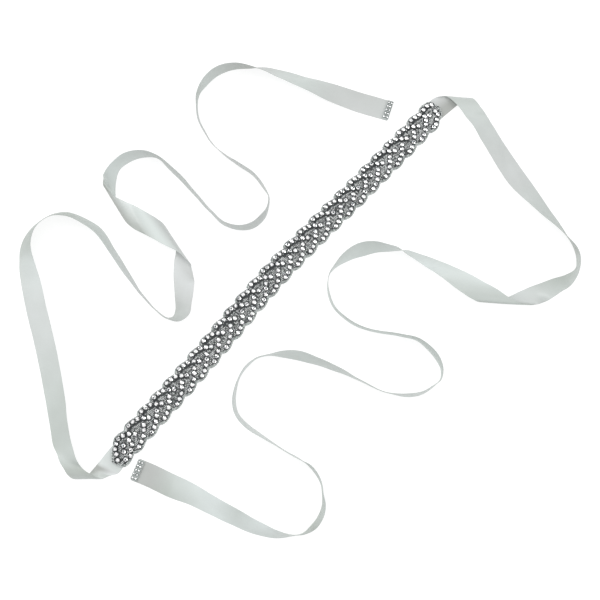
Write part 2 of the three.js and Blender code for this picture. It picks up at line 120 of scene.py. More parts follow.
RIGHT_TAIL: dict[str, Rows] = {
    "from_band": [
        (145, 206, 0, -45, 0), (154.5, 213.5, 0.5, -21, 0, 24), (161, 217, 2, -7, 0, 34),
        (167.5, 217, 4.5, -5, 0, 35),
    ],
    "descent": [
        (172.5, 211.5, 7.5, -4, 0, 31), (178, 204, 8, -4, 0, 22), (183.5, 196, 7.5, 1, 0, 5),
        (189.5, 186, 5.5, 16, -20), (197, 174, 3, 35, -18), (209, 154, 1, 37, -15),
        (226.5, 126.5, 0, 38, -12), (240, 107.5, 0, 39, -30), (252, 91, 0, 40, -45),
        (263.5, 77, 0, 45, -59), (274, 62, 0, 43, -71),
    ],
    "turn": [
        (280.5, 51, 0, 55, -78), (282.5, 40.5, 0, 68, -79), (281, 29.5, 0, 72, -70),
        (271.5, 19, 0, 90, -50), (259.5, 13.5, 0, 105, -39), (248, 8, 0, 117, -27),
        (235.5, 3, 0.5, 145, -5, 18), (225, -1.5, 1.5, 168, 0, 47), (217, -3.5, 3, 175, 0, 59),
        (209, -4.5, 4.6, 176.5, 0, 64),
    ],
    "fold": [
        (199, -3, 7.5, 175, 0, 63), (188, 3, 8.5, 175, 0, 61), (177.5, 10.5, 8, 178.5, 0, 58),
        (168, 17.5, 6, 181.5, 0, 51), (157.5, 25, 4, 187, 0, 38), (145.5, 31.5, 2, 198, 14),
        (132.5, 37, 1, 212, 38), (119, 43.5, 0, 225, 56), (107.5, 48.5, 0, 240, 67),
    ],
    "lens": [
        (100.5, 50.5, 0, 213, 80), (92.5, 51.5, 0, 149, 84), (78, 53, 0, 120, 70),
        (62.5, 50.5, 0, 117, 63), (46.5, 42, 0, 163, 70), (36, 33, 0, 220, 80),
    ],
    "bend": [
        (30, 25, 0, -105, 78), (28, 15, 0, -90, 78), (29, 4, 0, -75, 80), (34, -9, 0, -70, 83),
        (46, -21, 0, -85, 86), (64, -31, 0, -110, 86), (82, -35, 0, -140, 85), (101, -38, 0, -150, 85),
        (119, -43, 0, -165, 88), (130.3, -52.4, 0, 5, 88), (137.3, -62, 0, -40, 86),
    ],
    "arch": [
        (141, -72.5, 0, -100, 83), (139, -83, 0, -130, 81), (132, -89, 0, -160, 81),
        (120, -96, 0, 165, 83), (103, -98, 0, 165, 83), (89, -96, 0, -150, 83), (57, -82, 0, -95, 87),
        (39, -73, 0, 35, 84), (19, -65, 0, 55, 78), (1, -59, 0, 75, 72), (-17, -57, 0, 75, 80),
        (-31, -58, 0, -75, 86),
    ],
    "hook": [
        (-43, -61, 0, -80, 84), (-52, -68, 0, -120, 83), (-60, -80, 0, -100, 83),
        (-64, -92, 0, -120, 84), (-65, -105, 0, -135, 83), (-63, -115, 0, -125, 81),
        (-51, -129, 0, -115, 78), (-34, -140, 0, -100, 82), (-17, -151, 0, -95, 86),
        (-1, -160, 0, -100, 86), (10, -167, 0, 15, 86),
    ],
    "loop": [
        (17, -176, 0, 20, 86), (21, -185, 0, 20, 88), (22, -193, 0, 15, 88), (23, -205, 0, 15, 82),
        (20, -215, 0, 0, 77), (13, -225, 0, -40, 77), (4, -231, 0, -45, 87),
    ],
    "end": [
        (-9, -233, 0, 105, 83), (-21, -232, 0, 90, 70), (-36, -228, 0, 70, 57), (-63, -216, 0, 60, 42),
        (-83, -206, 0, 60, 36), (-104, -195, 0, 62, 26), (-128, -185, 0, 68, 0), (-147, -176, 0, 68, 0),
        (-162, -170, 0, 68, 0),
    ],
}

# Small creases in the satin, by tail and stretch: the cross-line of that stretch where the
# crease crosses (counted from 0, with parts), where it is across the ribbon from -1 to 1, its
# turn from straight across, its length, its width, and how far it stands up on the front.
CREASES: dict[str, dict[str, Rows]] = {
    "left": {
        "from_band": [
            (1, 0.6, 4, 14, 1.5, 1), (1.35, 0.6, 20, 13, 1.8, -0.9), (1.9, -0.1, 48, 24, 2.2, 1.1),
            (2.5, -0.5, 40, 16, 2.6, -0.6),
        ],
        "side": [
            (4.3, -0.2, 62, 46, 3.6, 0.5), (8.2, 0.3, 70, 60, 4.4, -0.45), (10.4, 0.1, 35, 30, 4, 0.6),
        ],
        "turn": [
            (2.6, 0.1, 30, 22, 3.4, -0.6), (4.4, -0.2, 50, 30, 4.2, 0.7), (6, 0.3, 58, 26, 3, -0.6),
        ],
        "lens": [(2.5, 0, 72, 48, 4.6, 0.8), (4.7, 0.35, 60, 30, 3.2, -0.6)],
        "arch": [(2.6, 0, 20, 18, 3.6, -0.5)],
        "top": [(6.5, 0, -16, 18, 5, 0.5)],
        "end": [
            (0.7, 0.2, 66, 52, 4.6, 0.7), (1.8, -0.3, 74, 44, 3.8, -0.5), (3.1, 0.1, 12, 15, 6, 0.35),
        ],
    },
    "right": {
        "from_band": [(1.6, 0.1, -20, 17, 3.4, -0.7)],
        "descent": [
            (1.4, 0.2, 30, 20, 3.4, 0.6), (5.2, -0.2, 68, 56, 4.4, 0.5), (6.6, 0.3, 72, 48, 3.8, -0.5),
        ],
        "turn": [(4.1, 0, -40, 24, 3.6, 0.6)],
        "fold": [(1.5, 0.1, 66, 36, 3.4, 0.7), (5.4, -0.2, -54, 34, 4.2, -0.6)],
        "lens": [(2.6, 0.1, 30, 20, 4.4, 0.5)],
        "arch": [(8.7, 0, -28, 20, 4.6, 0.5)],
        "end": [
            (2.6, 0, -60, 30, 3.4, 0.8), (4, 0.2, -70, 54, 4.6, -0.5), (6.4, -0.2, 20, 18, 5.2, 0.4),
        ],
    },
}

# Painted sheen and shade along the ribbon, by tail and stretch: the cross-line, its
# shade, slope and lilac. They stand in for the light that the satin catches and loses. Shade
# is 0 where it is painted brightest and 1 where it is painted darkest, slope is how much more
# painted shade its second edge has than its middle, and lilac is 1 where its green cast turns
# to a painted lilac tint of its sheen and shade.
PAINTED_SHEEN_AND_SHADE: dict[str, dict[str, Rows]] = {
    "left": {
        "end": [
            (4, 0.55, 0, 0.7), (3, 0.56, -0.07, 0.9), (2, 0.61, 0, 0.8), (1, 0.47, 0.05, 0),
            (0, 0.5, -0.1, 0.2),
        ],
        "top": [
            (9, 0.7, 0, 0.8), (8, 0.94, 0, 0.8), (5, 0.42, 0, 0.1), (4, 0.7, 0, 0.1), (2, 0.46, 0, 0.8),
            (0, 0.6, 0, 1),
        ],
        "loop": [(8, 0.55, 0, 0.5), (7, 0.59, 0, 0.6), (0, 0.5, 0, 0.6)],
        "arch": [
            (9, 0.6, 0, 0.4), (7, 0.59, 0, 0.5), (4, 0.22, 0, 0), (3, 0.23, 0, 0), (2, 0.4, 0, 0),
            (1, 0.45, 0, 0.1), (0.3, 1, 0, 0.6),
        ],
        "lens": [
            (7, 1, 0, 0.7), (6, 0.85, -0.12, 0.8), (5, 0.68, -0.2, 0.3), (4, 0.57, -0.32, 0.3),
            (3, 0.33, -0.07, 0), (2, 0.24, 0, 0), (1, 0.44, 0, 0.4), (0, 0.58, 0, 0.7),
        ],
        "turn": [
            (6, 0.5, 0.1, 0.9), (5, 0.43, -0.26, 0.9), (4, 0.33, 0.09, 0.9), (3, 0.52, 0, 0.9),
            (1, 0.7, 0, 0.4),
        ],
        "shoulder": [
            (6, 0.48, 0, 0.8), (5, 0.48, 0.1, 0.4), (3, 0.53, 0, 0), (2, 0.72, 0, 0), (1, 0.95, 0, 0),
        ],
        "side": [
            (11, 0.82, 0, 0), (10, 0.32, 0.14, 0.2), (8, 0.43, 0, 0.6), (7, 0.43, 0, 0.5),
            (6, 0.6, -0.09, 0), (5, 0.68, 0, 0), (4, 0.63, 0.1, 0), (3, 0.55, -0.05, 0),
            (2, 0.74, -0.18, 0), (1, 0.91, -0.09, 0), (0, 0.85, 0, 0.2),
        ],
        "from_band": [
            (3, 0.5, 0, 0.5), (2, 0.66, 0.1, 0.1), (1.6, 0.55, 0.55, 0.6), (1.2, 0.75, 0.65, 1),
            (0.98, 0.3, -0.05, 0.4),
        ],
    },
    "right": {
        "from_band": [(1, 0.81, -0.56, 1), (2, 0.7, 0, 0.8), (3, 0.55, 0, 0.4)],
        "descent": [
            (0, 0.66, 0, 0.1), (1, 0.52, 0, 0.1), (3, 0.48, 0, 0.3), (5, 0.5, 0, 0.7),
            (6, 0.53, 0, 0.8), (7, 0.54, 0, 0.4), (9, 0.65, 0, 0),
        ],
        "turn": [
            (0, 1, 0, 0.2), (1, 0.66, 0, 0), (3, 0.76, -0.12, 0), (4, 0.67, -0.12, 0),
            (5, 0.54, -0.12, 0.3), (6, 0.45, 0.09, 0.5), (7, 0.43, 0, 0.6), (8, 0.82, 0, 0.4),
            (9, 0.95, 0, 0.3),
        ],
        "fold": [
            (0, 0.66, 0, 0), (1, 0.66, 0, 0), (2, 0.52, 0, 0), (3, 0.36, -0.16, 0), (4, 0.22, -0.07, 0),
            (5, 0.18, 0.14, 0), (6, 0.2, 0.19, 0), (8, 0.38, 0, 0),
        ],
        "lens": [(2, 0.48, 0, 0), (4, 0.39, -0.17, 0)],
        "arch": [(8, 0.54, 0, 0), (9, 0.47, 0, 0)],
        "hook": [(6, 0.4, 0, 0.2)],
        "loop": [(4, 0.72, 0.1, 0), (5, 0.95, 0, 0)],
        "end": [
            (1, 0.37, 0, 0), (2, 0.13, 0.16, 0), (3, 0.34, -0.12, 0), (4, 0.06, 0, 0),
            (5, 0.2, 0.18, 0), (6, 0.66, 0.16, 0), (7, 0.83, 0.09, 1), (8, 0.83, 0, 0.9),
        ],
    },
}


def by_stretch(marks: dict[str, dict[str, Rows]]) -> Iterator[tuple[Any, ...]]:
    """Every row of marks that are grouped by tail and stretch, led by both names."""
    for tail, stretches in marks.items():
        for stretch, rows in stretches.items():
            yield from ((tail, stretch, *row) for row in rows)


def table(columns: str, rows: Rows) -> dict[str, Array]:
    """Rows under named columns, as one array for each column."""
    return dict(zip(columns.split(), np.array(rows, float).T))


# Where the band's line bows to the upper left, as a share of its length and in millimetres
BAND_BOW = table("share bow", [(0, 0), (0.25, 2.3), (0.51, 7.5), (0.77, 3), (1, 0)])

# The crystals of one braid repeat, along and across the band from its scallop's first crystal
BRAID = table("along across", [
    (1, 11.3), (6.5, 10.6), (11.7, 9.1), (16.3, 5.1), (20.2, 1.5),
    (-7, -10.6), (-1.7, -9.2), (3.4, -6.8), (8.2, -3.2), (11.7, 0.2),
])

# The closed cluster at the left tip, measured from that tip
LEFT_CLUSTER = table("along across", [
    (5.1, -3.9), (8.4, 1.1), (11.1, 5.5), (15.6, 8.4), (20.3, 9.9), (10.7, -9.3),
    (16.6, -10.6), (20.9, -7), (25.6, -4), (15.1, -2.7), (19.1, 1.6), (25.8, 8.6),
    (30.9, 5.3), (35, 0.6), (26.4, 1.1),
])

# The closing crystals at the right tip, measured from that tip
RIGHT_CLUSTER = table("along across", [
    (-17.2, -10.5), (-12.7, -7.6), (-7.6, -4.5), (-6.9, 0.1), (-14, 9.9),
    (-8.1, 9.8), (-3.9, 7.4), (-18.6, 4.1), (-14.4, 1.1),
])

# The groove under the upper strand of one braid repeat, where no bead is sewn. Its bare dark
# felt is painted shadow under the strand, and the beads' height beside it adds some real shade.
GROOVE = table("along across", [
    (-3.1, 7.2), (0.9, 7.8), (4.9, 7.5), (8.9, 6.4), (12.9, 4.4), (16.4, 1.8), (18.5, -1),
])


class WovenFace(IntEnum):
    """The material number of each face of the ribbon."""

    FRONT = 0
    REVERSE = 1
    SELVAGE = 2


class Edge(Enum):
    """A scalloped edge of the band: its side, first notch, lopsidedness, left tip and right tip.

    A tip is how far from it the edge starts to close in, and a power. With 0.5 it closes in as
    a quarter ellipse, and with 1 as half a parabola.
    """

    UPPER = (1, -5.0, 0.6, (24.0, 1.0), (4.0, 0.5))
    LOWER = (-1, 3.4, 0.8, (6.0, 0.5), (19.0, 0.75))

    @property
    def side(self) -> int:
        """1 towards the upper left and -1 towards the lower right."""
        return self.value[0]

    @property
    def notch_shift(self) -> float:
        """How far this edge's notches lie from the braid's first crystal, in millimetres."""
        return self.value[1]

    @property
    def skew(self) -> float:
        """Below 1 the scallop swells quickly and falls away slowly."""
        return self.value[2]

    def kept(self, from_left: Array, from_right: Array) -> Array:
        """The share of its reach that the edge keeps at distances from both tips.

        Args:
            from_left: distances from the left tip.
            from_right: distances from the right tip.

        Returns:
            The shares, from 0 to 1.
        """
        share = np.ones_like(from_left)
        for away, (length, power) in ((from_left, self.value[3]), (from_right, self.value[4])):
            share *= (1 - (1 - np.clip(away / length, 0, 1)) ** 2) ** power
        return share


def smooth_through(places: Array, values: Array, wanted: Array) -> Array:
    """A smooth curve through rows of values.

    Between two rows it is a cubic Hermite curve, and the slope at a row is the mean of the
    slopes to both sides, each weighted by the other side's span.

    Args:
        places: the place of each row along the run, rising.
        values: one row of values for each place.
        wanted: the places to read.

    Returns:
        One row of values for each wanted place.
    """
    span = np.diff(places)[:, None]
    rise = np.diff(values, axis=0) / span
    inner = (rise[:-1] * span[1:] + rise[1:] * span[:-1]) / (span[:-1] + span[1:])
    slopes = np.concatenate([rise[:1], inner, rise[-1:]])
    k = np.clip(np.searchsorted(places, wanted) - 1, 0, len(places) - 2)
    width = span[k]
    t = (np.asarray(wanted)[:, None] - places[k][:, None]) / width
    return ((2 * t**3 - 3 * t**2 + 1) * values[k]
            + (t**3 - 2 * t**2 + t) * width * slopes[k]
            + (3 * t**2 - 2 * t**3) * values[k + 1]
            + (t**3 - t**2) * width * slopes[k + 1])


def unit(vectors: Array) -> Array:
    """Vectors brought to length 1 along their last axis."""
    return vectors / np.linalg.norm(vectors, axis=-1, keepdims=True)


@dataclass
class Shape:
    """A surface in millimetres: points, and faces as one run of point numbers.

    Attributes:
        points: the points, (N, 3).
        corners: the point numbers of every face, one face after another.
        sizes: how many corners each face has.
        finish: the material number of each face.
    """

    points: Array
    corners: Array
    sizes: Array
    finish: Array

    @staticmethod
    def of_faces(points: Array, faces: list[tuple[int, ...]]) -> "Shape":
        """A shape of listed faces that share one finish."""
        sizes = np.array([len(face) for face in faces])
        return Shape(points, np.concatenate(faces), sizes, np.zeros(len(faces), int))

    @staticmethod
    def lofted(rings: Array, wrapped: bool = False, finish: Array | None = None) -> "Shape":
        """A skin over rings of points, with a four-sided face between neighbours.

        Seen along the run of rings, the face normal is the run's direction crossed with the
        direction of the ring.

        Args:
            rings: the points, (rings, points of a ring, 3).
            wrapped: whether the last ring joins the first, as in a torus. If not, both ends
                are closed by a flat face.
            finish: the material number of each strip along the run, one for each ring point.

        Returns:
            The closed shape.
        """
        count, around, _ = rings.shape
        steps = count if wrapped else count - 1
        k, j = np.meshgrid(np.arange(steps), np.arange(around), indexing="ij")
        after, beside = (k + 1) % count, (j + 1) % around
        quads = np.stack([k * around + j, after * around + j, after * around + beside,
                          k * around + beside], axis=-1).reshape(-1, 4)
        strips = np.zeros(around, int) if finish is None else finish
        corners, sizes = quads.ravel(), np.full(len(quads), 4)
        materials = np.tile(strips, steps)
        if not wrapped:
            first = np.arange(around)
            corners = np.concatenate([corners, first, first[::-1] + (count - 1) * around])
            sizes = np.append(sizes, [around, around])
            materials = np.append(materials, [strips[-1], strips[-1]])
        return Shape(rings.reshape(-1, 3), corners, sizes, materials)

    @staticmethod
    def turned(profile: Array, sides: int) -> "Shape":
        """A closed profile of radius and height carried round the upright axis.

        Args:
            profile: (points, 2), running upwards on its outer side.
            sides: how many times it is repeated round the axis.

        Returns:
            The ring-like shape.
        """
        angle = np.arange(sides) * 2 * math.pi / sides
        radius, height = profile.T
        rings = np.stack([np.cos(angle)[:, None] * radius, np.sin(angle)[:, None] * radius,
                          np.broadcast_to(height, (sides, len(profile)))], axis=-1)
        return Shape.lofted(rings, wrapped=True)

    @staticmethod
    def joined(shapes: list["Shape"]) -> "Shape":
        """Several shapes as one, each keeping its own finish numbers."""
        starts = np.cumsum([0] + [len(s.points) for s in shapes[:-1]])
        return Shape(np.concatenate([s.points for s in shapes]),
                     np.concatenate([s.corners + start for s, start in zip(shapes, starts)]),
                     np.concatenate([s.sizes for s in shapes]),
                     np.concatenate([s.finish for s in shapes]))

    def stamped(self, places: Array, turns: Array, scales: Array | float = 1.0) -> "Shape":
        """Copies of this shape, each turned, scaled and then moved.

        Args:
            places: where each copy goes, (copies, 3).
            turns: a rotation matrix for each copy, (copies, 3, 3).
            scales: one size for all copies, or one for each.

        Returns:
            All copies as one shape.
        """
        scales = np.broadcast_to(scales, len(places))
        points = np.einsum("kij,nj->kni", turns, self.points) * scales[:, None, None]
        points += places[:, None, :]
        shift = np.arange(len(places)) * len(self.points)
        return Shape(points.reshape(-1, 3), (self.corners + shift[:, None]).ravel(),
                     np.tile(self.sizes, len(places)), np.tile(self.finish, len(places)))

    def to_object(self, name: str, materials: list[Material], shift: Array,
                  smooth_angle: float | None = None) -> Object:
        """This shape as an object whose place is in its mesh.

        Args:
            name: the piece's name.
            materials: its materials, in the order of the finish numbers.
            shift: what moves the table's millimetres to the frame's.
            smooth_angle: faces that meet at less than this many degrees shade smoothly. With
                none, every face stays flat.

        Returns:
            The new object.
        """
        mesh = bpy.data.meshes.new(name)
        mesh.vertices.add(len(self.points))
        mesh.vertices.foreach_set("co", ((self.points + shift) * MM).astype(np.float32).ravel())
        mesh.loops.add(len(self.corners))
        mesh.loops.foreach_set("vertex_index", self.corners.astype(np.int32))
        mesh.polygons.add(len(self.sizes))
        starts = np.concatenate([[0], np.cumsum(self.sizes)[:-1]])
        mesh.polygons.foreach_set("loop_start", starts.astype(np.int32))
        mesh.polygons.foreach_set("material_index", self.finish.astype(np.int32))
        mesh.update(calc_edges=True)
        mesh.validate()
        for material in materials:
            mesh.materials.append(material)
        if smooth_angle is not None:
            mesh.shade_smooth()
            mesh.set_sharp_from_angle(angle=math.radians(smooth_angle))
        else:
            mesh.shade_flat()
        piece = bpy.data.objects.new(name, mesh)
        bpy.context.scene.collection.objects.link(piece)
        return piece


def linear(hex_colour: str) -> tuple[float, float, float, float]:
    """An sRGB hex colour as linear red, green and blue, with full alpha."""
    parts = [int(hex_colour[k:k + 2], 16) / 255 for k in (1, 3, 5)]
    red, green, blue = (c / 12.92 if c <= 0.04045 else ((c + 0.055) / 1.055) ** 2.4 for c in parts)
    return red, green, blue, 1.0


def feed(node: Node, links: dict[Any, NodeSocket]) -> None:
    """Link the outputs given to the node's inputs, by name or number."""
    for name, output in links.items():
        node.id_data.links.new(output, node.inputs[name])


def add_node(tree: NodeTree, kind: str, settings: dict[Any, Any] | None = None,
             links: dict[Any, NodeSocket] | None = None) -> Node:
    """Add a node with its settings and links.

    Args:
        tree: the node tree.
        kind: the node's type name, without its first word.
        settings: values for its properties, or for its inputs by name or number.
        links: the output that feeds each input, by name or number.

    Returns:
        The new node.
    """
    node = tree.nodes.new(f"ShaderNode{kind}")
    for name, value in (settings or {}).items():
        if isinstance(name, str) and hasattr(node, name):
            setattr(node, name, value)
        else:
            node.inputs[name].default_value = value
    feed(node, links or {})
    return node


def mesh_value(tree: NodeTree, name: str) -> NodeSocket:
    """The value of a mesh attribute."""
    return add_node(tree, "Attribute", {"attribute_name": name}).outputs["Fac"]


def start_material(name: str, settings: dict[str, Any]) -> tuple[Material, Node]:
    """A new material with a principled shader.

    Args:
        name: what the real material is.
        settings: the shader's constant values, by socket name.

    Returns:
        The material and its shader node.
    """
    material = bpy.data.materials.new(name)
    material.use_nodes = True
    tree = material.node_tree
    tree.nodes.clear()
    shader = add_node(tree, "BsdfPrincipled", settings)
    add_node(tree, "OutputMaterial", links={"Surface": shader.outputs["BSDF"]})
    return material, shader


def mix_tones(tree: NodeTree, first: str, second: str, amount: NodeSocket) -> NodeSocket:
    """The colour between two hex tones at an amount from 0 to 1."""
    tones = {"data_type": "RGBA", 6: linear(first), 7: linear(second)}
    return add_node(tree, "Mix", tones, {0: amount}).outputs[2]


def band_scale(period_mm: float) -> float:
    """The scale at which a wave texture's bands repeat every period, on metre coordinates."""
    bands_per_unit = 20
    return 2 * math.pi / (bands_per_unit * period_mm * MM)


@dataclass(frozen=True)
class SatinFinish:
    """Woven satin ribbon. Long floats on its front give it a soft lustre along its length.

    The threads are 0.12 mm apart in such ribbon and are drawn coarser, so that they show.
    """

    name: str
    # The first tone is the satin where it catches the light and the second is the satin in painted
    # shade; the lilac tint is painted sheen and shade too.
    light: str
    painted_shade: str
    roughness: float
    anisotropy: float
    sheen: float
    float_pitch: float = 0.45
    pick_pitch: float = 0.8
    pick_share: float = 0.35
    weave_height: float = 0.02
    thread_tones: tuple[float, float] = (0.94, 1.02)
    mottle: float = 0.24
    mottle_scale: float = 38.0
    painted_lilac: str = "#FFFAFD"

    def material(self) -> Material:
        """Mix the lit and shaded tones by the painted shade and a slow mottle, tint them with the
        painted lilac, and raise the threads.

        Returns:
            The satin's material.
        """
        material, shader = start_material(self.name, {
            "Roughness": self.roughness,
            "Anisotropic": self.anisotropy,
            "Sheen Weight": self.sheen,
            "Sheen Roughness": 0.35,
            "Specular IOR Level": 0.45,
        })
        tree = material.node_tree
        place = add_node(tree, "UVMap", {"uv_map": "across_along"}).outputs["UV"]
        mottle = add_node(tree, "TexNoise", {"Scale": self.mottle_scale, "Detail": 2.0},
                          {"Vector": place})
        spread = add_node(tree, "Math", {
            "operation": "MULTIPLY_ADD", 1: self.mottle, 2: -self.mottle / 2,
        }, {0: mottle.outputs["Fac"]})
        amount = add_node(tree, "Math", {"operation": "ADD", "use_clamp": True},
                          {0: spread.outputs[0], 1: mesh_value(tree, "painted_shade")})
        floats, picks = [add_node(tree, "TexWave", {
            "wave_type": "BANDS", "bands_direction": direction, "Scale": band_scale(pitch),
            "Distortion": waver, "Detail": 1.0,
        }, {"Vector": place}) for direction, pitch, waver in (
            ("X", self.float_pitch, 0.6), ("DIAGONAL", self.pick_pitch, 0.4))]
        threads = add_node(tree, "Math", {"operation": "MULTIPLY_ADD", 1: self.pick_share},
                           {0: picks.outputs["Fac"], 2: floats.outputs["Fac"]})
        # Painted sheen and shade: the lit and the shaded tone, mixed by the painted shade, then tinted
        # with the painted lilac.
        toned = mix_tones(tree, self.light, self.painted_shade, amount.outputs[0])
        cast = add_node(tree, "Mix", {
            "data_type": "RGBA", "blend_type": "MULTIPLY", 7: linear(self.painted_lilac),
        }, {0: mesh_value(tree, "painted_lilac"), 6: toned})
        darkest, lightest = self.thread_tones
        between = add_node(tree, "MapRange", {
            "From Max": 1 + self.pick_share, "To Min": darkest, "To Max": lightest,
        }, {"Value": threads.outputs[0]})
        colour = add_node(tree, "Mix", {
            "data_type": "RGBA", "blend_type": "MULTIPLY", 0: 1.0,
        }, {6: cast.outputs[2], 7: between.outputs[0]})
        raised = add_node(tree, "Bump", {"Strength": 0.5, "Distance": self.weave_height * MM},
                          {"Height": threads.outputs[0]})
        along = add_node(tree, "Tangent", {"direction_type": "UV_MAP", "uv_map": "across_along"})
        feed(shader, {"Base Color": colour.outputs[2], "Normal": raised.outputs["Normal"],
                      "Tangent": along.outputs["Tangent"]})
        return material


@dataclass(frozen=True)
class SilveredFinish:
    """Polished or foil-backed glass and metal, with a tone that differs from face to face.

    On a cut stone the dark tone is a painted reflection, given to facets that stand for those
    turned away from the light.
    """

    name: str
    light: str
    dark: str
    metallic: float
    roughness: float
    coat: float = 0.0
    grain: float = 0.0
    grain_scale: float = 900.0

    def material(self) -> Material:
        """Mix two tones by the tone attribute, with a fine tarnish where grain is set.

        Returns:
            The glass's or metal's material.
        """
        material, shader = start_material(self.name, {
            "Metallic": self.metallic,
            "Roughness": self.roughness,
            "Coat Weight": self.coat,
            "Coat Roughness": 0.05,
        })
        tree = material.node_tree
        place = add_node(tree, "TexCoord").outputs["Object"]
        mottle = add_node(tree, "TexNoise", {"Scale": self.grain_scale, "Detail": 2.0},
                          {"Vector": place})
        spread = add_node(tree, "Math", {
            "operation": "MULTIPLY_ADD", 1: self.grain, "use_clamp": True,
        }, {0: mottle.outputs["Fac"], 2: mesh_value(tree, "tone")})
        feed(shader, {"Base Color": mix_tones(tree, self.light, self.dark, spread.outputs[0])})
        return material


@dataclass(frozen=True)
class FeltFinish:
    """Needled felt under the beads: short matted fibres, dull, with a fine pale fleck."""

    name: str = "needled_felt"
    # These dark greys, bare between the beads and round the crystals, partly stand in for the shade
    # there.
    light: str = "#55595A"
    dark: str = "#26282A"
    fibre_mm: float = 0.7

    def material(self) -> Material:
        """Mix two greys by a fine noise, and raise the fibres a little.

        Returns:
            The felt's material.
        """
        material, shader = start_material(self.name, {"Roughness": 0.92, "Sheen Weight": 0.25})
        tree = material.node_tree
        place = add_node(tree, "TexCoord").outputs["Object"]
        fibres = add_node(tree, "TexNoise", {"Scale": 1 / (self.fibre_mm * MM), "Detail": 4.0},
                          {"Vector": place})
        colour = mix_tones(tree, self.dark, self.light, fibres.outputs["Fac"])
        raised = add_node(tree, "Bump", {"Strength": 0.6, "Distance": 0.1 * MM},
                          {"Height": fibres.outputs["Fac"]})
        feed(shader, {"Base Color": colour, "Normal": raised.outputs["Normal"]})
        return material


@dataclass(frozen=True)
class TableFinish:
    """A plain matt white table, of opal acrylic that is lit a little from within."""

    name: str = "opal_acrylic_table"
    colour: str = "#9A9A9A"
    glow_colour: str = "#FFFFFF"
    glow: float = 0.77

    def material(self) -> Material:
        """One even white with hardly any gloss."""
        material, _ = start_material(self.name, {
            "Base Color": linear(self.colour), "Roughness": 0.9, "Specular IOR Level": 0.1,
            "Emission Color": linear(self.glow_colour), "Emission Strength": self.glow,
        })
        return material


@dataclass
class BandLine:
    """The band's middle line on the table, and its two scalloped edges. Millimetres."""

    start: tuple[float, float] = (-185.5, -162.5)
    end: tuple[float, float] = (147.0, 207.0)
    length: float = 495.0
    half_width: float = 11.6
    scallop_depth: float = 3.0
    scallop_pitch: float = 18.56
    first_scallop: float = 35.5
    scallops: int = 25
    braid_stop: float = 476.0

    @property
    def direction(self) -> Array:
        """The unit vector from the left tip to the right tip."""
        return unit(np.subtract(self.end, self.start))

    @property
    def square(self) -> Array:
        """The unit vector across the band, to the upper left."""
        x, y = self.direction
        return np.array([-y, x])

    def at(self, along: Array, across: Array | float) -> Array:
        """Points of the table along and across the band.

        A point is the straight line's point at that share of its length, moved square to it
        by the bow there and by across.

        Args:
            along: millimetres from the left tip.
            across: millimetres from the middle line, to the upper left.

        Returns:
            One x and y for each point.
        """
        along = np.asarray(along, float)
        share = along / self.length
        bow = smooth_through(BAND_BOW["share"], BAND_BOW["bow"][:, None], np.clip(share, 0, 1))[:, 0]
        line = np.subtract(self.end, self.start)
        return (np.array(self.start) + share[:, None] * line
                + (bow + across)[:, None] * self.square)

    def reach(self, along: Array, edge: Edge) -> Array:
        """How far one scalloped edge lies from the middle line.

        The half width plus a half sine for each scallop, whose phase is bent by the edge's
        skew, all closed in at both tips.

        Args:
            along: millimetres from the left tip.
            edge: which edge.

        Returns:
            The distances from the middle line, in millimetres.
        """
        notch = self.first_scallop + edge.notch_shift
        phase = np.mod((along - notch) / self.scallop_pitch, 1)
        swell = self.half_width + self.scallop_depth * np.sin(math.pi * phase**edge.skew)
        return swell * edge.kept(along, self.length - along)

    def crystals(self) -> tuple[Array, Array]:
        """Where every crystal of the band is, as along and across.

        The braid is repeated once for each scallop and ends where the right cluster starts,
        and each tip has its own cluster.

        Returns:
            The distances along and across, one of each for every crystal.
        """
        k = np.arange(self.scallops)[:, None]
        along = self.first_scallop + k * self.scallop_pitch + BRAID["along"]
        across = np.broadcast_to(BRAID["across"], along.shape)
        kept = along < self.braid_stop
        right = self.length + RIGHT_CLUSTER["along"]
        return (np.concatenate([LEFT_CLUSTER["along"], along[kept], right]),
                np.concatenate([LEFT_CLUSTER["across"], across[kept], RIGHT_CLUSTER["across"]]))


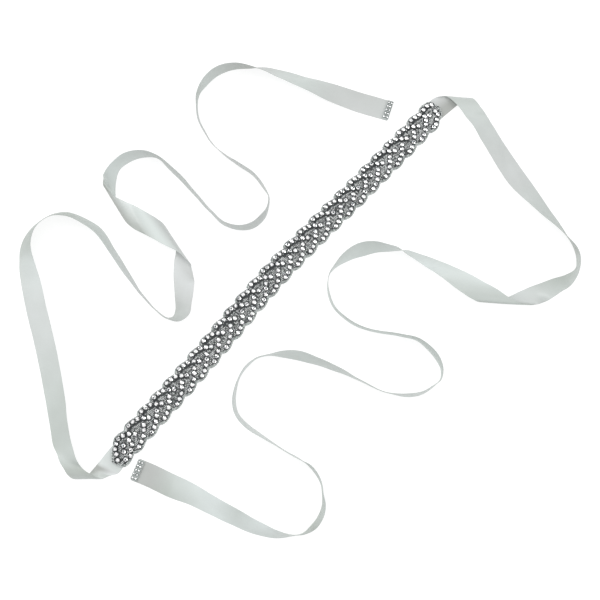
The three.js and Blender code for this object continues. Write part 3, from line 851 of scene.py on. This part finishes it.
@dataclass
class RibbonRun:
    """The ribbon's path as one smooth run of cross-lines, from its left end to its right end."""

    band: BandLine
    width: float = 22.0
    band_margin: float = 30.0
    band_rows: int = 12
    softening: float = 2.0
    places: Array = field(init=False)
    values: Array = field(init=False)
    left_rows: int = field(init=False)

    def __post_init__(self) -> None:
        """Join the left tail turned about, the stretch under the band, and the right tail."""
        left = self.cross_lines(sum(LEFT_TAIL.values(), []))[::-1]
        right = self.cross_lines(sum(RIGHT_TAIL.values(), []))
        right[:, 3:6] *= -1
        along = np.linspace(self.band_margin, self.band.length - self.band_margin, self.band_rows)
        half = self.width / 2
        middle = np.zeros((self.band_rows, 7))
        middle[:, :2] = self.band.at(along, np.zeros(self.band_rows))
        middle[:, 3:5] = half * self.band.square
        middle[:, 6] = half
        self.left_rows = len(left)
        self.values = np.concatenate([left, middle, right])
        moves = np.linalg.norm(np.diff(self.values[:, :3], axis=0), axis=1)
        self.places = np.concatenate([[0], np.cumsum(moves)])

    def cross_lines(self, rows: Rows) -> Array:
        """Rows of a tail as x, y, low, the half cross-line as a vector, and its length.

        Args:
            rows: the rows of one tail.

        Returns:
            One row of seven values for each, (N, 7).
        """
        x, y, low, heading, tilt, slant = np.array([(*row, 0)[:6] for row in rows], float).T
        heading, tilt, slant = np.radians((heading, tilt, slant))
        half = self.width / 2 / np.cos(slant)
        return np.stack([x, y, low, half * np.cos(tilt) * np.cos(heading),
                         half * np.cos(tilt) * np.sin(heading), half * np.sin(tilt), half], axis=1)

    @property
    def length(self) -> float:
        """The run's length, in millimetres."""
        return float(self.places[-1])

    def at(self, wanted: Array) -> Array:
        """The smooth run's values at places along it."""
        return smooth_through(self.places, self.values, np.clip(wanted, 0, self.length))

    def place_of(self, tail: str, stretch: str, row: float) -> float:
        """The place along the run of a cross-line of one stretch, counted from 0 with parts.

        Args:
            tail: left or right.
            stretch: the stretch's name.
            row: the cross-line's number.

        Returns:
            Millimetres from the run's left end.
        """
        stretches = LEFT_TAIL if tail == "left" else RIGHT_TAIL
        before = sum(len(rows) for rows in list(stretches.values())[:list(stretches).index(stretch)])
        if tail == "left":
            index = self.left_rows - 1 - before - row
        else:
            index = self.left_rows + self.band_rows + before + row
        return float(np.interp(index, np.arange(len(self.places)), self.places))

    def frames(self, wanted: Array) -> tuple[Array, Array, Array, Array]:
        """The ribbon's middle, half cross-line and outward direction at places along the run.

        The direction of the run is that of the ribbon's middle line over 2 mm, and outward is
        the run's direction crossed with the cross-line. Outward is the satin's front.

        Args:
            wanted: the places, in millimetres.

        Returns:
            The middle on the table, (N, 3) with no height, the half cross-line, the outward
            unit vector, and the height of the lowest edge.
        """
        def middle(places: Array) -> Array:
            """The middle line, whose height is softened where the ribbon lies flat."""
            x, y, low, _, _, rise, _ = self.at(places).T
            return np.stack([x, y, np.maximum(low, 0) + np.hypot(rise, self.softening)], axis=1)

        step = 1.0
        along = unit(middle(wanted + step) - middle(wanted - step))
        values = self.at(wanted)
        across = unit(values[:, 3:6]) * values[:, 6:7]
        out = unit(np.cross(along, across))
        base = values[:, :3] * (1, 1, 0)
        return base, across, out, np.maximum(values[:, 2], 0)


@dataclass
class SatinRibbon:
    """The sash's ribbon: one thin closed shell of woven satin. Millimetres."""

    run: RibbonRun
    wall: float = 0.45
    step: float = 2.0
    across_steps: int = 12
    selvage_swell: float = 0.12
    cup: float = 0.35
    cup_waves: Rows = field(default_factory=lambda: [(1.0, 31.0, 0.0), (0.6, 12.7, 1.0)])
    ripple: float = 0.12
    ripple_lengths: tuple[float, float, float] = (4.1, 57.0, 6.7)
    slanted_share: float = 0.7
    # Each face's two tones: the satin lit, and the satin in painted shade.
    front: SatinFinish = SatinFinish("satin_front", "#DEE5E3", "#ACB2AC", 0.36, 0.55, 0.12)
    reverse: SatinFinish = SatinFinish("satin_reverse", "#DEE5E3", "#ACB2AC", 0.6, 0.2, 0.06)
    selvage: SatinFinish = SatinFinish("satin_selvage", "#D3DAD7", "#A3A9A4", 0.55, 0.0, 0.06,
                                       float_pitch=0.3, pick_pitch=0.35)

    def creases(self, places: Array, across: Array) -> Array:
        """How far the satin stands off its smooth surface, on the front's side.

        A crease is a soft ridge or trough: a bell curve across its width, faded out towards
        both ends of its length. To them come a slow cupping of the whole width, and a small
        ripple of the edges, both sums of two sine waves of unlike lengths.

        Args:
            places: the places of the cross-sections along the run.
            across: the places across the ribbon, from -1 to 1.

        Returns:
            The heights, (cross-sections, places across).
        """
        half = self.run.width / 2
        run, side = places[:, None], across[None, :]
        cupping = sum(share * np.sin(run / length + start) for share, length, start in self.cup_waves)
        short, long, slanted = (run / length for length in self.ripple_lengths)
        waves = np.sin(short) * np.sin(long) + self.slanted_share * np.sin(slanted + 2 * side)
        height = self.cup * cupping * (1 - side**2) + self.ripple * waves * side**4
        for tail, stretch, row, centre, turn, length, width, rise in by_stretch(CREASES):
            away = run - self.run.place_of(tail, stretch, row)
            aside = (side - centre) * half
            angle = math.radians(turn)
            off = away * math.cos(angle) - aside * math.sin(angle)
            down = away * math.sin(angle) + aside * math.cos(angle)
            height += rise * np.exp(-(off / width) ** 2 - (2 * down / length) ** 4)
        return height

    def rings(self, places: Array) -> tuple[Array, Array]:
        """The shell's cross-sections and their map.

        A cross-section runs along the front from one edge to the other, round the selvage, back
        along the reverse, and round the other selvage. It is lifted so that its lowest point is
        at the height of the ribbon's lower edge there.

        Args:
            places: the places of the cross-sections along the run.

        Returns:
            The points, (cross-sections, ring, 3), and for each the metres across and along.
        """
        base, half_line, out, low = self.run.frames(places)
        across = np.linspace(-1, 1, self.across_steps + 1)
        edge = 1 + self.selvage_swell / (self.run.width / 2)
        ring_side = np.concatenate([across, [edge], across[::-1], [-edge]])
        face = np.concatenate([np.ones(len(across)), [0], -np.ones(len(across)), [0]])
        height = self.creases(places, np.clip(ring_side, -1, 1))
        points = (base[:, None, :] + half_line[:, None, :] * ring_side[None, :, None]
                  + out[:, None, :] * (height + face * self.wall / 2)[:, :, None])
        points[:, :, 2] += (low - points[:, :, 2].min(axis=1))[:, None]
        across_metres = (ring_side + 1) / 2 * self.run.width * MM
        grid = np.broadcast_arrays(across_metres[None, :], places[:, None] * MM)
        return points, np.stack(grid, axis=-1)

    def build(self, shift: Array) -> Object:
        """The ribbon as a piece, with its map, its painted shade and its painted lilac tint.

        Args:
            shift: what moves the table's millimetres to the frame's.

        Returns:
            The finished piece.
        """
        places = np.linspace(0, self.run.length, round(self.run.length / self.step) + 1)
        rings, uv = self.rings(places)
        faces = [WovenFace.FRONT] * self.across_steps + [WovenFace.SELVAGE] * 2
        faces += [WovenFace.REVERSE] * self.across_steps + [WovenFace.SELVAGE] * 2
        shape = Shape.lofted(rings, finish=np.array(faces, int))
        finishes = [self.front.material(), self.reverse.material(), self.selvage.material()]
        piece = shape.to_object("satin_ribbon", finishes, shift, smooth_angle=50)
        layer = piece.data.uv_layers.new(name="across_along")
        corners = np.zeros(len(piece.data.loops), np.int32)
        piece.data.loops.foreach_get("vertex_index", corners)
        layer.data.foreach_set("uv", uv.reshape(-1, 2)[corners].astype(np.float32).ravel())
        side = np.tile(uv[0, :, 0] / (self.run.width * MM) * 2 - 1, len(places))
        # Painted sheen and shade: every point takes its shade, with the slope across, and its lilac tint
        # from the table of painted sheen and shade.
        marks = [(self.run.place_of(*mark[:3]), *mark[3:]) for mark in by_stretch(PAINTED_SHEEN_AND_SHADE)]
        stops, *columns = np.array(sorted(marks)).T
        painted_shade, slope, painted_lilac = [np.repeat(np.interp(places, stops, column), rings.shape[1])
                               for column in columns]
        for name, values in (("painted_shade", painted_shade + slope * side), ("painted_lilac", painted_lilac)):
            attribute = piece.data.attributes.new(name, "FLOAT", "POINT")
            attribute.data.foreach_set("value", values.astype(np.float32))
        return piece


class Turn(Enum):
    """A rotation matrix's nine entries: c and s are cosine and sine, C and S their negatives."""

    ABOUT_UP = "cS0sc0001"
    ABOUT_X = "1000cS0sc"
    LAID_FLAT = "0sc0Cs100"

    def matrices(self, angles: Array) -> Array:
        """One matrix for each angle in radians. An axis laid flat points at its angle."""
        cos, sin = np.cos(angles), np.sin(angles)
        entries = {"0": np.zeros_like(cos), "1": np.ones_like(cos),
                   "c": cos, "s": sin, "C": -cos, "S": -sin}
        return np.stack([entries[entry] for entry in self.value], axis=1).reshape(-1, 3, 3)


def set_tone(piece: Object, tones: Array) -> None:
    """Give every face of a piece its tone, from 0, light, to 1, dark."""
    attribute = piece.data.attributes.new("tone", "FLOAT", "FACE")
    attribute.data.foreach_set("value", tones.astype(np.float32))


@dataclass
class CrystalSetting:
    """A round cut crystal in its claw cup. Millimetres, with the cup's foot at height 0."""

    diameter: float
    height: float
    crystal_share: float = 0.88
    table_share: float = 0.46
    crown_share: float = 0.24
    facets: int = 8
    cup_sides: int = 10
    point_height: float = 0.05
    rim_share: float = 0.98
    claw_share: float = 0.13
    claw_inner: float = 0.72
    claw_top: float = 0.94
    lean_degrees: float = 5.0
    # The share of facets with a painted dark reflection, and the least dark tone they take.
    painted_dark_facets: float = 0.22
    least_dark: float = 0.5
    crystal: SilveredFinish = SilveredFinish("foil_backed_crystal", "#FFFFFF", "#5C6468", 0.9, 0.06,
                                             coat=0.6)
    # The claws are a dark grey metal.
    metal: SilveredFinish = SilveredFinish("dark_silver_claws", "#404447", "#131516", 1.0, 0.35,
                                           grain=0.9)

    def stone(self) -> Shape:
        """The crystal: a flat table, a crown of triangles down to the girdle, and a point below.

        Returns:
            One crystal over its cup's foot.
        """
        radius = self.diameter / 2 * self.crystal_share
        crown_height = self.height * self.crown_share
        girdle_height = self.height - crown_height
        n = self.facets
        upper = np.arange(n) * 2 * math.pi / n
        lower = upper + math.pi / n
        table_ring = np.stack([np.cos(upper) * radius * self.table_share,
                               np.sin(upper) * radius * self.table_share,
                               np.full(n, girdle_height + crown_height)], axis=1)
        girdle = np.stack([np.cos(lower) * radius, np.sin(lower) * radius,
                           np.full(n, girdle_height)], axis=1)
        points = np.concatenate([table_ring, girdle, [[0, 0, self.point_height]]])
        faces: list[tuple[int, ...]] = [tuple(range(n))]
        for k in range(n):
            after = (k + 1) % n
            faces.append((k, n + (k - 1) % n, n + k))
            faces.append((k, n + k, after))
            faces.append((n + after, n + k, 2 * n))
        return Shape.of_faces(points, faces)

    def cup(self) -> Shape:
        """The cup: a low ring, and four claws that lean in over the crystal's crown.

        Returns:
            One cup with its claws.
        """
        radius = self.diameter / 2
        rim = self.height * (self.rim_share - self.crown_share)
        ring_shares = np.array([(0.96, 0), (1, 1), (0.9, 1.03), (0.8, 0)])
        ring = Shape.turned(ring_shares * (radius, rim), self.cup_sides)
        half, tip = radius * self.claw_share, self.height * self.claw_top
        inner, outer = radius * self.claw_inner, radius
        # Up its outer side, over to its narrow inner tip, and down behind the ring
        claw = np.array([
            [outer, -half, rim * 0.5], [outer, half, rim * 0.5],
            [outer * 0.94, half, tip], [outer * 0.94, -half, tip],
            [inner, -half * 0.6, tip * 1.02], [inner, half * 0.6, tip * 1.02],
            [outer * 0.84, half, rim * 0.9], [outer * 0.84, -half, rim * 0.9],
        ])
        sides = [(0, 1, 2, 3), (3, 2, 5, 4), (4, 5, 6, 7), (7, 6, 1, 0), (0, 3, 4, 7), (1, 6, 5, 2)]
        quarter = np.arange(4) * math.pi / 2
        claws = Shape.of_faces(claw, sides).stamped(np.zeros((4, 3)), Turn.ABOUT_UP.matrices(quarter))
        return Shape.joined([ring, claws])

    def build(self, name: str, places: Array, shift: Array,
              chance: np.random.Generator) -> list[Object]:
        """All crystals and all cups of one set of places.

        Args:
            name: what the pieces' names start with.
            places: the foot of each setting, (N, 3).
            shift: what moves the table's millimetres to the frame's.
            chance: the seeded source of each stone's turn and lean.

        Returns:
            The crystals' piece and the cups' piece.
        """
        count = len(places)
        spin = Turn.ABOUT_UP.matrices(chance.uniform(0, 2 * math.pi, count))
        lean = Turn.ABOUT_X.matrices(np.radians(chance.uniform(-1, 1, count) * self.lean_degrees))
        facing = Turn.ABOUT_UP.matrices(chance.uniform(0, 2 * math.pi, count))
        leaning = facing @ lean @ facing.transpose(0, 2, 1)
        stones = self.stone().stamped(places, leaning @ spin)
        crystals = stones.to_object(f"{name}_crystals", [self.crystal.material()], shift)
        # Painted reflection: a random share of the facets takes the dark tone, as if each reflected the
        # dark room.
        dark = chance.random(len(stones.sizes)) < self.painted_dark_facets
        set_tone(crystals, dark * chance.uniform(self.least_dark, 1, len(dark)))
        claws = self.cup().stamped(places, spin)
        cups = claws.to_object(f"{name}_claw_cups", [self.metal.material()], shift, smooth_angle=40)
        set_tone(cups, np.zeros(len(claws.sizes)))
        return [crystals, cups]


@dataclass
class SeedBead:
    """A small glass bead with its hole. Millimetres."""

    diameter: float = 1.5
    hole: float = 0.45
    length: float = 1.15
    sides: int = 8
    shoulder_share: float = 0.62
    size_range: tuple[float, float] = (0.92, 1.06)

    def shape(self) -> Shape:
        """A ring of four-cornered section round the hole.

        Returns:
            One bead with its hole upright.
        """
        outer, inner, half = self.diameter / 2, self.hole / 2, self.length / 2
        middle = outer * self.shoulder_share
        profile = np.array([(outer, 0), (middle, half), (inner, 0), (middle, -half)])
        return Shape.turned(profile, self.sides)

    def build(self, name: str, places: Array, angles: Array, finish: SilveredFinish,
              shift: Array, chance: np.random.Generator) -> Object:
        """Many beads as one piece, each threaded along its own direction.

        Args:
            name: the piece's name.
            places: the middle of each bead, (N, 3).
            angles: the direction of each bead's thread on the table, in radians.
            finish: the beads' glass.
            shift: what moves the table's millimetres to the frame's.
            chance: the seeded source of each bead's tone and size.

        Returns:
            The piece.
        """
        bead = self.shape()
        sizes = chance.uniform(*self.size_range, len(places))
        beads = bead.stamped(places, Turn.LAID_FLAT.matrices(angles), sizes)
        piece = beads.to_object(name, [finish.material()], shift, smooth_angle=70)
        tones = chance.beta(0.8, 1.1, len(places))
        set_tone(piece, np.repeat(tones, len(bead.sizes)))
        return piece


def spaced_along(line: Array, pitch: float) -> tuple[Array, Array]:
    """Points at even steps along a line of points, and the line's direction at each.

    Args:
        line: the points, (N, 2).
        pitch: the step, which is changed a little so that whole steps fill the line.

    Returns:
        The points, (K, 2), and the directions in radians.
    """
    travelled = np.concatenate([[0], np.cumsum(np.linalg.norm(np.diff(line, axis=0), axis=1))])
    steps = max(round(travelled[-1] / pitch), 1)
    stops = np.arange(0.5, steps) * travelled[-1] / steps
    reach = 0.3
    points, ahead, behind = [
        np.stack([np.interp(stops + away, travelled, column) for column in line.T], axis=1)
        for away in (0, reach, -reach)]
    return points, np.arctan2(*(ahead - behind).T[::-1])


def nearest_distance(points: Array, others: Array) -> Array:
    """How far each point is from the nearest of the others."""
    return np.sqrt(((points[:, None, :] - others[None, :, :]) ** 2).sum(axis=2).min(axis=1))


@dataclass
class StoneBand:
    """The scalloped band: felt, claw-set crystals in a braid, and seed beads. Millimetres."""

    line: BandLine
    floor: float = 0.6
    felt_top: float = 2.5
    felt_steps: int = 620
    felt_round: float = 0.2
    tip_angle: float = 0.04
    tip_share: float = 0.15
    outline_points: int = 5000
    outline_margin: float = 0.05
    setting: CrystalSetting = field(default_factory=lambda: CrystalSetting(4.9, 2.0))
    bead: SeedBead = field(default_factory=SeedBead)
    bead_pitch: float = 1.5
    row_pitch: float = 1.42
    crystal_room: float = 2.95
    groove_room: float = 0.9
    groove_points: int = 40
    # How far each row lies inside the edge and over the felt, and its room to the crystals
    rim_rows: Rows = field(default_factory=lambda: [(0.55, 0.1, 2.6), (1.95, 0.5, 2.95)])
    fill_span: tuple[float, float] = (20.0, 16.0)
    fill_room: float = 3.1
    fill_end: float = 1.0
    fill_lift: float = 0.5
    fill_unevenness: tuple[float, float] = (-0.1, 0.15)
    fill_slope: float = -24.0
    fill_wave: float = 1.1
    fill_jitter: float = 0.14
    thread_turn: float = 18.0
    thread_spread: float = 0.35
    seed: int = 7
    felt: FeltFinish = FeltFinish()
    binding: FeltFinish = FeltFinish("pale_felt_edge", "#B9BFBC", "#8F9693")
    fill_glass: SilveredFinish = SilveredFinish("grey_lined_seed_beads", "#E4E7E6", "#484C4D", 0.3, 0.2,
                                                coat=0.5)
    rim_glass: SilveredFinish = SilveredFinish("pale_lined_seed_beads", "#E6EAE8", "#8E9694", 0.2, 0.25,
                                               coat=0.5)

    def felt_shape(self) -> Shape:
        """The felt: a cross-section with rounded edges, carried along the band.

        Each cross-section spans from the lower edge's reach to the upper one's, and the
        sections stand closer together at the tips.

        Returns:
            The felt, with finish 1 on its edges and underside.
        """
        steps = self.felt_steps
        turn = (1 - np.cos(np.linspace(self.tip_angle, math.pi - self.tip_angle, steps))) / 2
        even = np.linspace(turn[0], turn[-1], steps)
        along = self.line.length * (self.tip_share * turn + (1 - self.tip_share) * even)
        upper = self.line.reach(along, Edge.UPPER)
        lower = -self.line.reach(along, Edge.LOWER)
        share = np.array([0.0, 0.02, 0.06, 0.5, 0.94, 0.98, 1.0, 0.98, 0.02])
        floor, top = self.floor, self.felt_top
        middle, bevel = (floor + top) / 2, top - self.felt_round
        height = np.array([middle, bevel, top, top, top, bevel, middle, floor, floor])
        rings = np.zeros((steps, len(share), 3))
        for k, part in enumerate(share):
            rings[:, k, :2] = self.line.at(along, lower + (upper - lower) * part)
        rings[:, :, 2] = height
        edge = np.array([1, 1, 0, 0, 1, 1, 1, 1, 1])
        return Shape.lofted(rings, finish=edge)

    def outline(self, inset: float, edge: Edge) -> Array:
        """One scalloped edge as a line on the table, moved inwards along its own normal.

        Args:
            inset: how far inwards.
            edge: which edge.

        Returns:
            Points close together on the table, (N, 2).
        """
        along = np.linspace(self.outline_margin, self.line.length - self.outline_margin,
                            self.outline_points)
        points = self.line.at(along, edge.side * self.line.reach(along, edge))
        ahead = unit(np.gradient(points, axis=0))
        inward = np.stack([ahead[:, 1], -ahead[:, 0]], axis=1) * edge.side
        return points + inward * inset

    def rim_beads(self, crystals: Array) -> tuple[Array, Array]:
        """Rows of beads that follow both edges, left out where a crystal stands.

        Args:
            crystals: the crystals' places on the table, (N, 2).

        Returns:
            The beads' places, (K, 3), and thread directions.
        """
        places, headings = [], []
        for inset, lift, room in self.rim_rows:
            for edge in Edge:
                points, heading = spaced_along(self.outline(inset, edge), self.bead_pitch)
                free = nearest_distance(points, crystals) > room
                places.append(np.column_stack([points[free], np.full(free.sum(), self.felt_top + lift)]))
                headings.append(heading[free])
        return np.concatenate(places), np.concatenate(headings)

    def fill_beads(self, crystals: Array, chance: np.random.Generator) -> tuple[Array, Array]:
        """Rows of beads between the crystals, which lie along the braid's upper strand.

        A slanted grid of places over the whole band, moved a little by chance. A place is kept
        where it is clear of the crystals, the rim's rows and the groove.

        Args:
            crystals: the crystals' places on the table, (N, 2).
            chance: the seeded source of the small moves.

        Returns:
            The beads' places, (K, 3), and thread directions.
        """
        slope = math.radians(self.fill_slope)
        past_tip, aside = self.fill_span
        columns = np.arange(-past_tip, self.line.length + past_tip, self.bead_pitch)
        rows = np.arange(-aside, aside, self.row_pitch)
        across_grid, along_grid = np.meshgrid(rows, columns)
        along_grid = along_grid + (np.round(across_grid / self.row_pitch) % 2) * self.bead_pitch / 2
        phase = 2 * math.pi * (along_grid - self.line.first_scallop) / self.line.scallop_pitch
        along = (along_grid - across_grid * math.tan(slope)).ravel()
        across = (across_grid + self.fill_wave * np.sin(phase)).ravel()
        along = along + chance.uniform(-self.fill_jitter, self.fill_jitter, len(along))
        across = across + chance.uniform(-self.fill_jitter, self.fill_jitter, len(across))
        inside = (along > self.fill_end) & (along < self.line.length - self.fill_end)
        along, across = along[inside], across[inside]
        fits = across < self.line.reach(along, Edge.UPPER) - self.fill_room
        fits &= across > -self.line.reach(along, Edge.LOWER) + self.fill_room
        points = self.line.at(along, across)
        fits &= nearest_distance(points, crystals) > self.crystal_room
        # The bare dark felt left along the groove is painted shadow under the upper strand.
        fits &= nearest_distance(points, self.groove()) > self.groove_room
        count = fits.sum()
        height = self.felt_top + self.fill_lift + chance.uniform(*self.fill_unevenness, count)
        heading = math.atan2(*self.line.direction[::-1]) + math.radians(self.thread_turn)
        spread = chance.uniform(-self.thread_spread, self.thread_spread, count)
        return np.column_stack([points[fits], height]), np.full(count, heading) + spread

    def groove(self) -> Array:
        """Points close together along the groove of every repeat, on the table.

        Returns:
            The points, (N, 2).
        """
        along = np.linspace(GROOVE["along"][0], GROOVE["along"][-1], self.groove_points)
        across = smooth_through(GROOVE["along"], GROOVE["across"][:, None], along)
        repeats = self.line.first_scallop + np.arange(-1, self.line.scallops) * self.line.scallop_pitch
        every = (repeats[:, None] + along).ravel()
        return self.line.at(every, np.tile(across[:, 0], len(repeats)))

    def build(self, shift: Array) -> list[Object]:
        """The band's pieces, the felt first.

        Args:
            shift: what moves the table's millimetres to the frame's.

        Returns:
            The felt, the crystals, their cups, the rim's beads and the fill's beads.
        """
        chance = np.random.default_rng(self.seed)
        crystals = self.line.at(*self.line.crystals())
        felt = self.felt_shape().to_object("band_felt", [self.felt.material(), self.binding.material()],
                                           shift, smooth_angle=40)
        feet = np.column_stack([crystals, np.full(len(crystals), self.felt_top)])
        stones = self.setting.build("band", feet, shift, chance)
        rim = self.bead.build("band_rim_beads", *self.rim_beads(crystals), self.rim_glass, shift, chance)
        fill = self.bead.build("band_fill_beads", *self.fill_beads(crystals, chance), self.fill_glass,
                               shift, chance)
        return [felt, *stones, rim, fill]


@dataclass
class EndTrim:
    """The narrow trim across one end of the ribbon: a strip with two rows of crystals."""

    name: str
    corner: Array
    across: Array
    inward: Array
    length: float = 21.0
    width: float = 6.4
    past_end: float = 0.8
    floor: float = 0.6
    top: float = 2.3
    bevel: float = 0.2
    strip_steps: int = 20
    rows: int = 2
    per_row: int = 5
    pitch: float = 4.1
    row_pitch: float = 3.1
    seed: int = 11
    setting: CrystalSetting = field(default_factory=lambda: CrystalSetting(
        3.4, 1.0, crystal_share=0.6, cup_sides=12,
        metal=SilveredFinish("pale_silver_claws", "#B4BCBA", "#737C7A", 1.0, 0.3, grain=0.9)))
    felt: FeltFinish = FeltFinish("pale_felt_strip", "#CED3D1", "#AFB5B3")

    @staticmethod
    def at_end(name: str, run: RibbonRun, end: float, before: float) -> "EndTrim":
        """A trim set square to the run's end."""
        values = run.at(np.array([end, before]))
        return EndTrim(name, values[0, :2], unit(values[0, 3:5]), unit(values[1, :2] - values[0, :2]))

    def place(self, back: Array, aside: Array) -> Array:
        """Points of the table, back from the ribbon's end and aside from its middle."""
        return self.corner + np.outer(back, self.inward) + np.outer(aside, self.across)

    def strip(self) -> Shape:
        """The strip: a flat rectangle with a bevelled top, as a loft of two-sided sections.

        Returns:
            The closed strip.
        """
        aside = np.linspace(-0.5, 0.5, self.strip_steps) * self.length
        inset = np.array([0, 0, self.bevel, self.width - self.bevel, self.width, self.width])
        shoulder = self.top - self.bevel
        height = np.array([self.floor, shoulder, self.top, self.top, shoulder, self.floor])
        handed = np.sign(np.cross(np.append(self.across, 0), np.append(self.inward, 0))[2])
        order = slice(None) if handed > 0 else slice(None, None, -1)
        rings = np.zeros((self.strip_steps, len(inset), 3))
        for k, back in enumerate(inset):
            rings[:, k, :2] = self.place(np.full(self.strip_steps, back - self.past_end), aside)
        rings[:, :, 2] = height
        return Shape.lofted(rings[:, order, :])

    def build(self, shift: Array) -> list[Object]:
        """The trim's strip, crystals and cups.

        Args:
            shift: what moves the table's millimetres to the frame's.

        Returns:
            The strip first.
        """
        chance = np.random.default_rng(self.seed)
        row, k = np.meshgrid(np.arange(self.rows), np.arange(self.per_row), indexing="ij")
        back = self.width / 2 - self.past_end + (row.ravel() - (self.rows - 1) / 2) * self.row_pitch
        aside = (k.ravel() - (self.per_row - 1) / 2) * self.pitch
        feet = np.column_stack([self.place(back, aside), np.full(len(back), self.top)])
        strip = self.strip().to_object(f"{self.name}_strip", [self.felt.material()], shift,
                                       smooth_angle=30)
        return [strip, *self.setting.build(self.name, feet, shift, chance)]


@dataclass
class Studio:
    """The camera over the table, soft light from all round and above, and the white table."""

    tilt_degrees: float = 11.0
    frame_pixels: float = 600.0
    focal_pixels: float = 1000.0
    pixels_per_mm: float = 0.983
    sensor_mm: float = 36.0
    table_size: float = 6.0
    table_drop: float = 0.0004
    softboxes: tuple[tuple[Any, ...], ...] = (
        ("softbox_left", (-1.1, 0.9, 1.6), 0.9, 14.0), ("softbox_right", (1.3, -0.3, 1.5), 0.7, 5.0))
    sky_strength: float = 0.9
    sky_top: float = 0.75
    sky_zenith: str = "#FFFFFF"
    sky_horizon: str = "#B9BDC0"
    table: TableFinish = TableFinish()

    def camera(self, shift: Array) -> None:
        """The photograph's camera, which looks down at the table's zero from the near side.

        Args:
            shift: what moves the table's millimetres to the frame's.
        """
        distance = self.focal_pixels / self.pixels_per_mm
        tilt = math.radians(self.tilt_degrees)
        data = bpy.data.cameras.new("camera")
        data.sensor_width = self.sensor_mm
        data.lens = self.focal_pixels / self.frame_pixels * self.sensor_mm
        camera = bpy.data.objects.new("camera", data)
        camera.location = (np.array([0, -math.sin(tilt), math.cos(tilt)]) * distance + shift) * MM
        camera.rotation_euler = (tilt, 0, 0)
        bpy.context.scene.collection.objects.link(camera)
        bpy.context.scene.camera = camera

    def sky(self) -> None:
        """Light from all round, whitest overhead."""
        world = bpy.data.worlds.new("studio")
        bpy.context.scene.world = world
        world.use_nodes = True
        tree = world.node_tree
        tree.nodes.clear()
        up = add_node(tree, "SeparateXYZ", links={
            0: add_node(tree, "TexCoord").outputs["Generated"]})
        share = add_node(tree, "MapRange", {"From Max": self.sky_top},
                         {"Value": up.outputs["Z"]})
        colour = mix_tones(tree, self.sky_horizon, self.sky_zenith, share.outputs[0])
        glow = add_node(tree, "Background", {"Strength": self.sky_strength},
                        {"Color": colour})
        add_node(tree, "OutputWorld", links={"Surface": glow.outputs[0]})

    def softbox(self, name: str, place: tuple[float, float, float], size: float, watts: float) -> None:
        """A square soft light that faces the table's middle.

        Args:
            name: the light's name.
            place: where it hangs, in metres.
            size: its side, in metres.
            watts: its power.
        """
        data = bpy.data.lights.new(name, "AREA")
        data.shape = "SQUARE"
        data.size = size
        data.energy = watts
        light = bpy.data.objects.new(name, data)
        x, y, z = place
        light.location = place
        light.rotation_euler = (math.atan2(math.hypot(x, y), z), 0, math.atan2(x, -y))
        bpy.context.scene.collection.objects.link(light)

    def build(self, shift: Array) -> None:
        """Everything that isn't the sash.

        Args:
            shift: what moves the table's millimetres to the frame's.
        """
        self.camera(shift)
        self.sky()
        for softbox in self.softboxes:
            self.softbox(*softbox)
        half = self.table_size / 2
        corners = np.array([[-half, -half], [half, -half], [half, half], [-half, half]])
        points = np.column_stack([corners, np.full(4, -self.table_drop)]) / MM
        plane = Shape.of_faces(points, [(0, 1, 2, 3)])
        plane.to_object("table_top", [self.table.material()], np.zeros(3))
        bpy.context.scene.view_settings.view_transform = "Standard"


@dataclass
class BridalSash:
    """The whole sash: the ribbon, the stone band on its middle, and a trim on each end."""

    line: BandLine = field(default_factory=BandLine)
    under_band_margin: float = 6.0
    outline_points: int = 25

    def shift(self) -> Array:
        """What is added to the table's millimetres to reach the frame's.

        The stretch of ribbon under the band has its box in the frame, and the same outline
        worked out on the table gives the difference.

        Returns:
            The move in x, y and z, in millimetres.
        """
        margin, count = self.under_band_margin, self.outline_points
        along = np.linspace(margin, self.line.length - margin, count)
        half = RibbonRun(self.line).width / 2
        outline = np.concatenate([self.line.at(along, np.full(count, side * half)) for side in (-1, 1)])
        lowest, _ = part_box("ribbon_under_band")
        return np.append(np.array(lowest[:2]) / MM - outline.min(axis=0), 0)

    def settle(self, pieces: list[Object]) -> None:
        """Ride pieces on the sash's one body, and log their face counts.

        Args:
            pieces: the pieces.
        """
        for piece in pieces:
            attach(piece, BODY)
            log.info("%s: %d faces", piece.name, len(piece.data.polygons))

    def build(self, shift: Array) -> None:
        """Build and dress every piece, and hide the imported parts that they replace.

        Args:
            shift: what moves the table's millimetres to the frame's.
        """
        run = RibbonRun(self.line)
        ribbon = SatinRibbon(run).build(shift)
        self.settle([ribbon])
        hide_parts(*(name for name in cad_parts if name.startswith("ribbon_")))
        band = StoneBand(self.line).build(shift)
        self.settle(band)
        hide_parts("stone_band")
        trims = [
            EndTrim.at_end("stone_trim_left", run, 0.0, 1.0),
            EndTrim.at_end("stone_trim_right", run, run.length, run.length - 1.0),
        ]
        on_ribbon = list(band)
        for trim in trims:
            pieces = trim.build(shift)
            self.settle(pieces)
            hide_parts(trim.name)
            on_ribbon += pieces


def main() -> None:
    """Build the studio and the sash."""
    logging.basicConfig(level=logging.INFO, format="%(message)s")
    sash = BridalSash()
    shift = sash.shift()
    log.info("shift %s mm", np.round(shift, 3))
    Studio().build(shift)
    sash.build(shift)


if __name__ == "__main__":
    main()
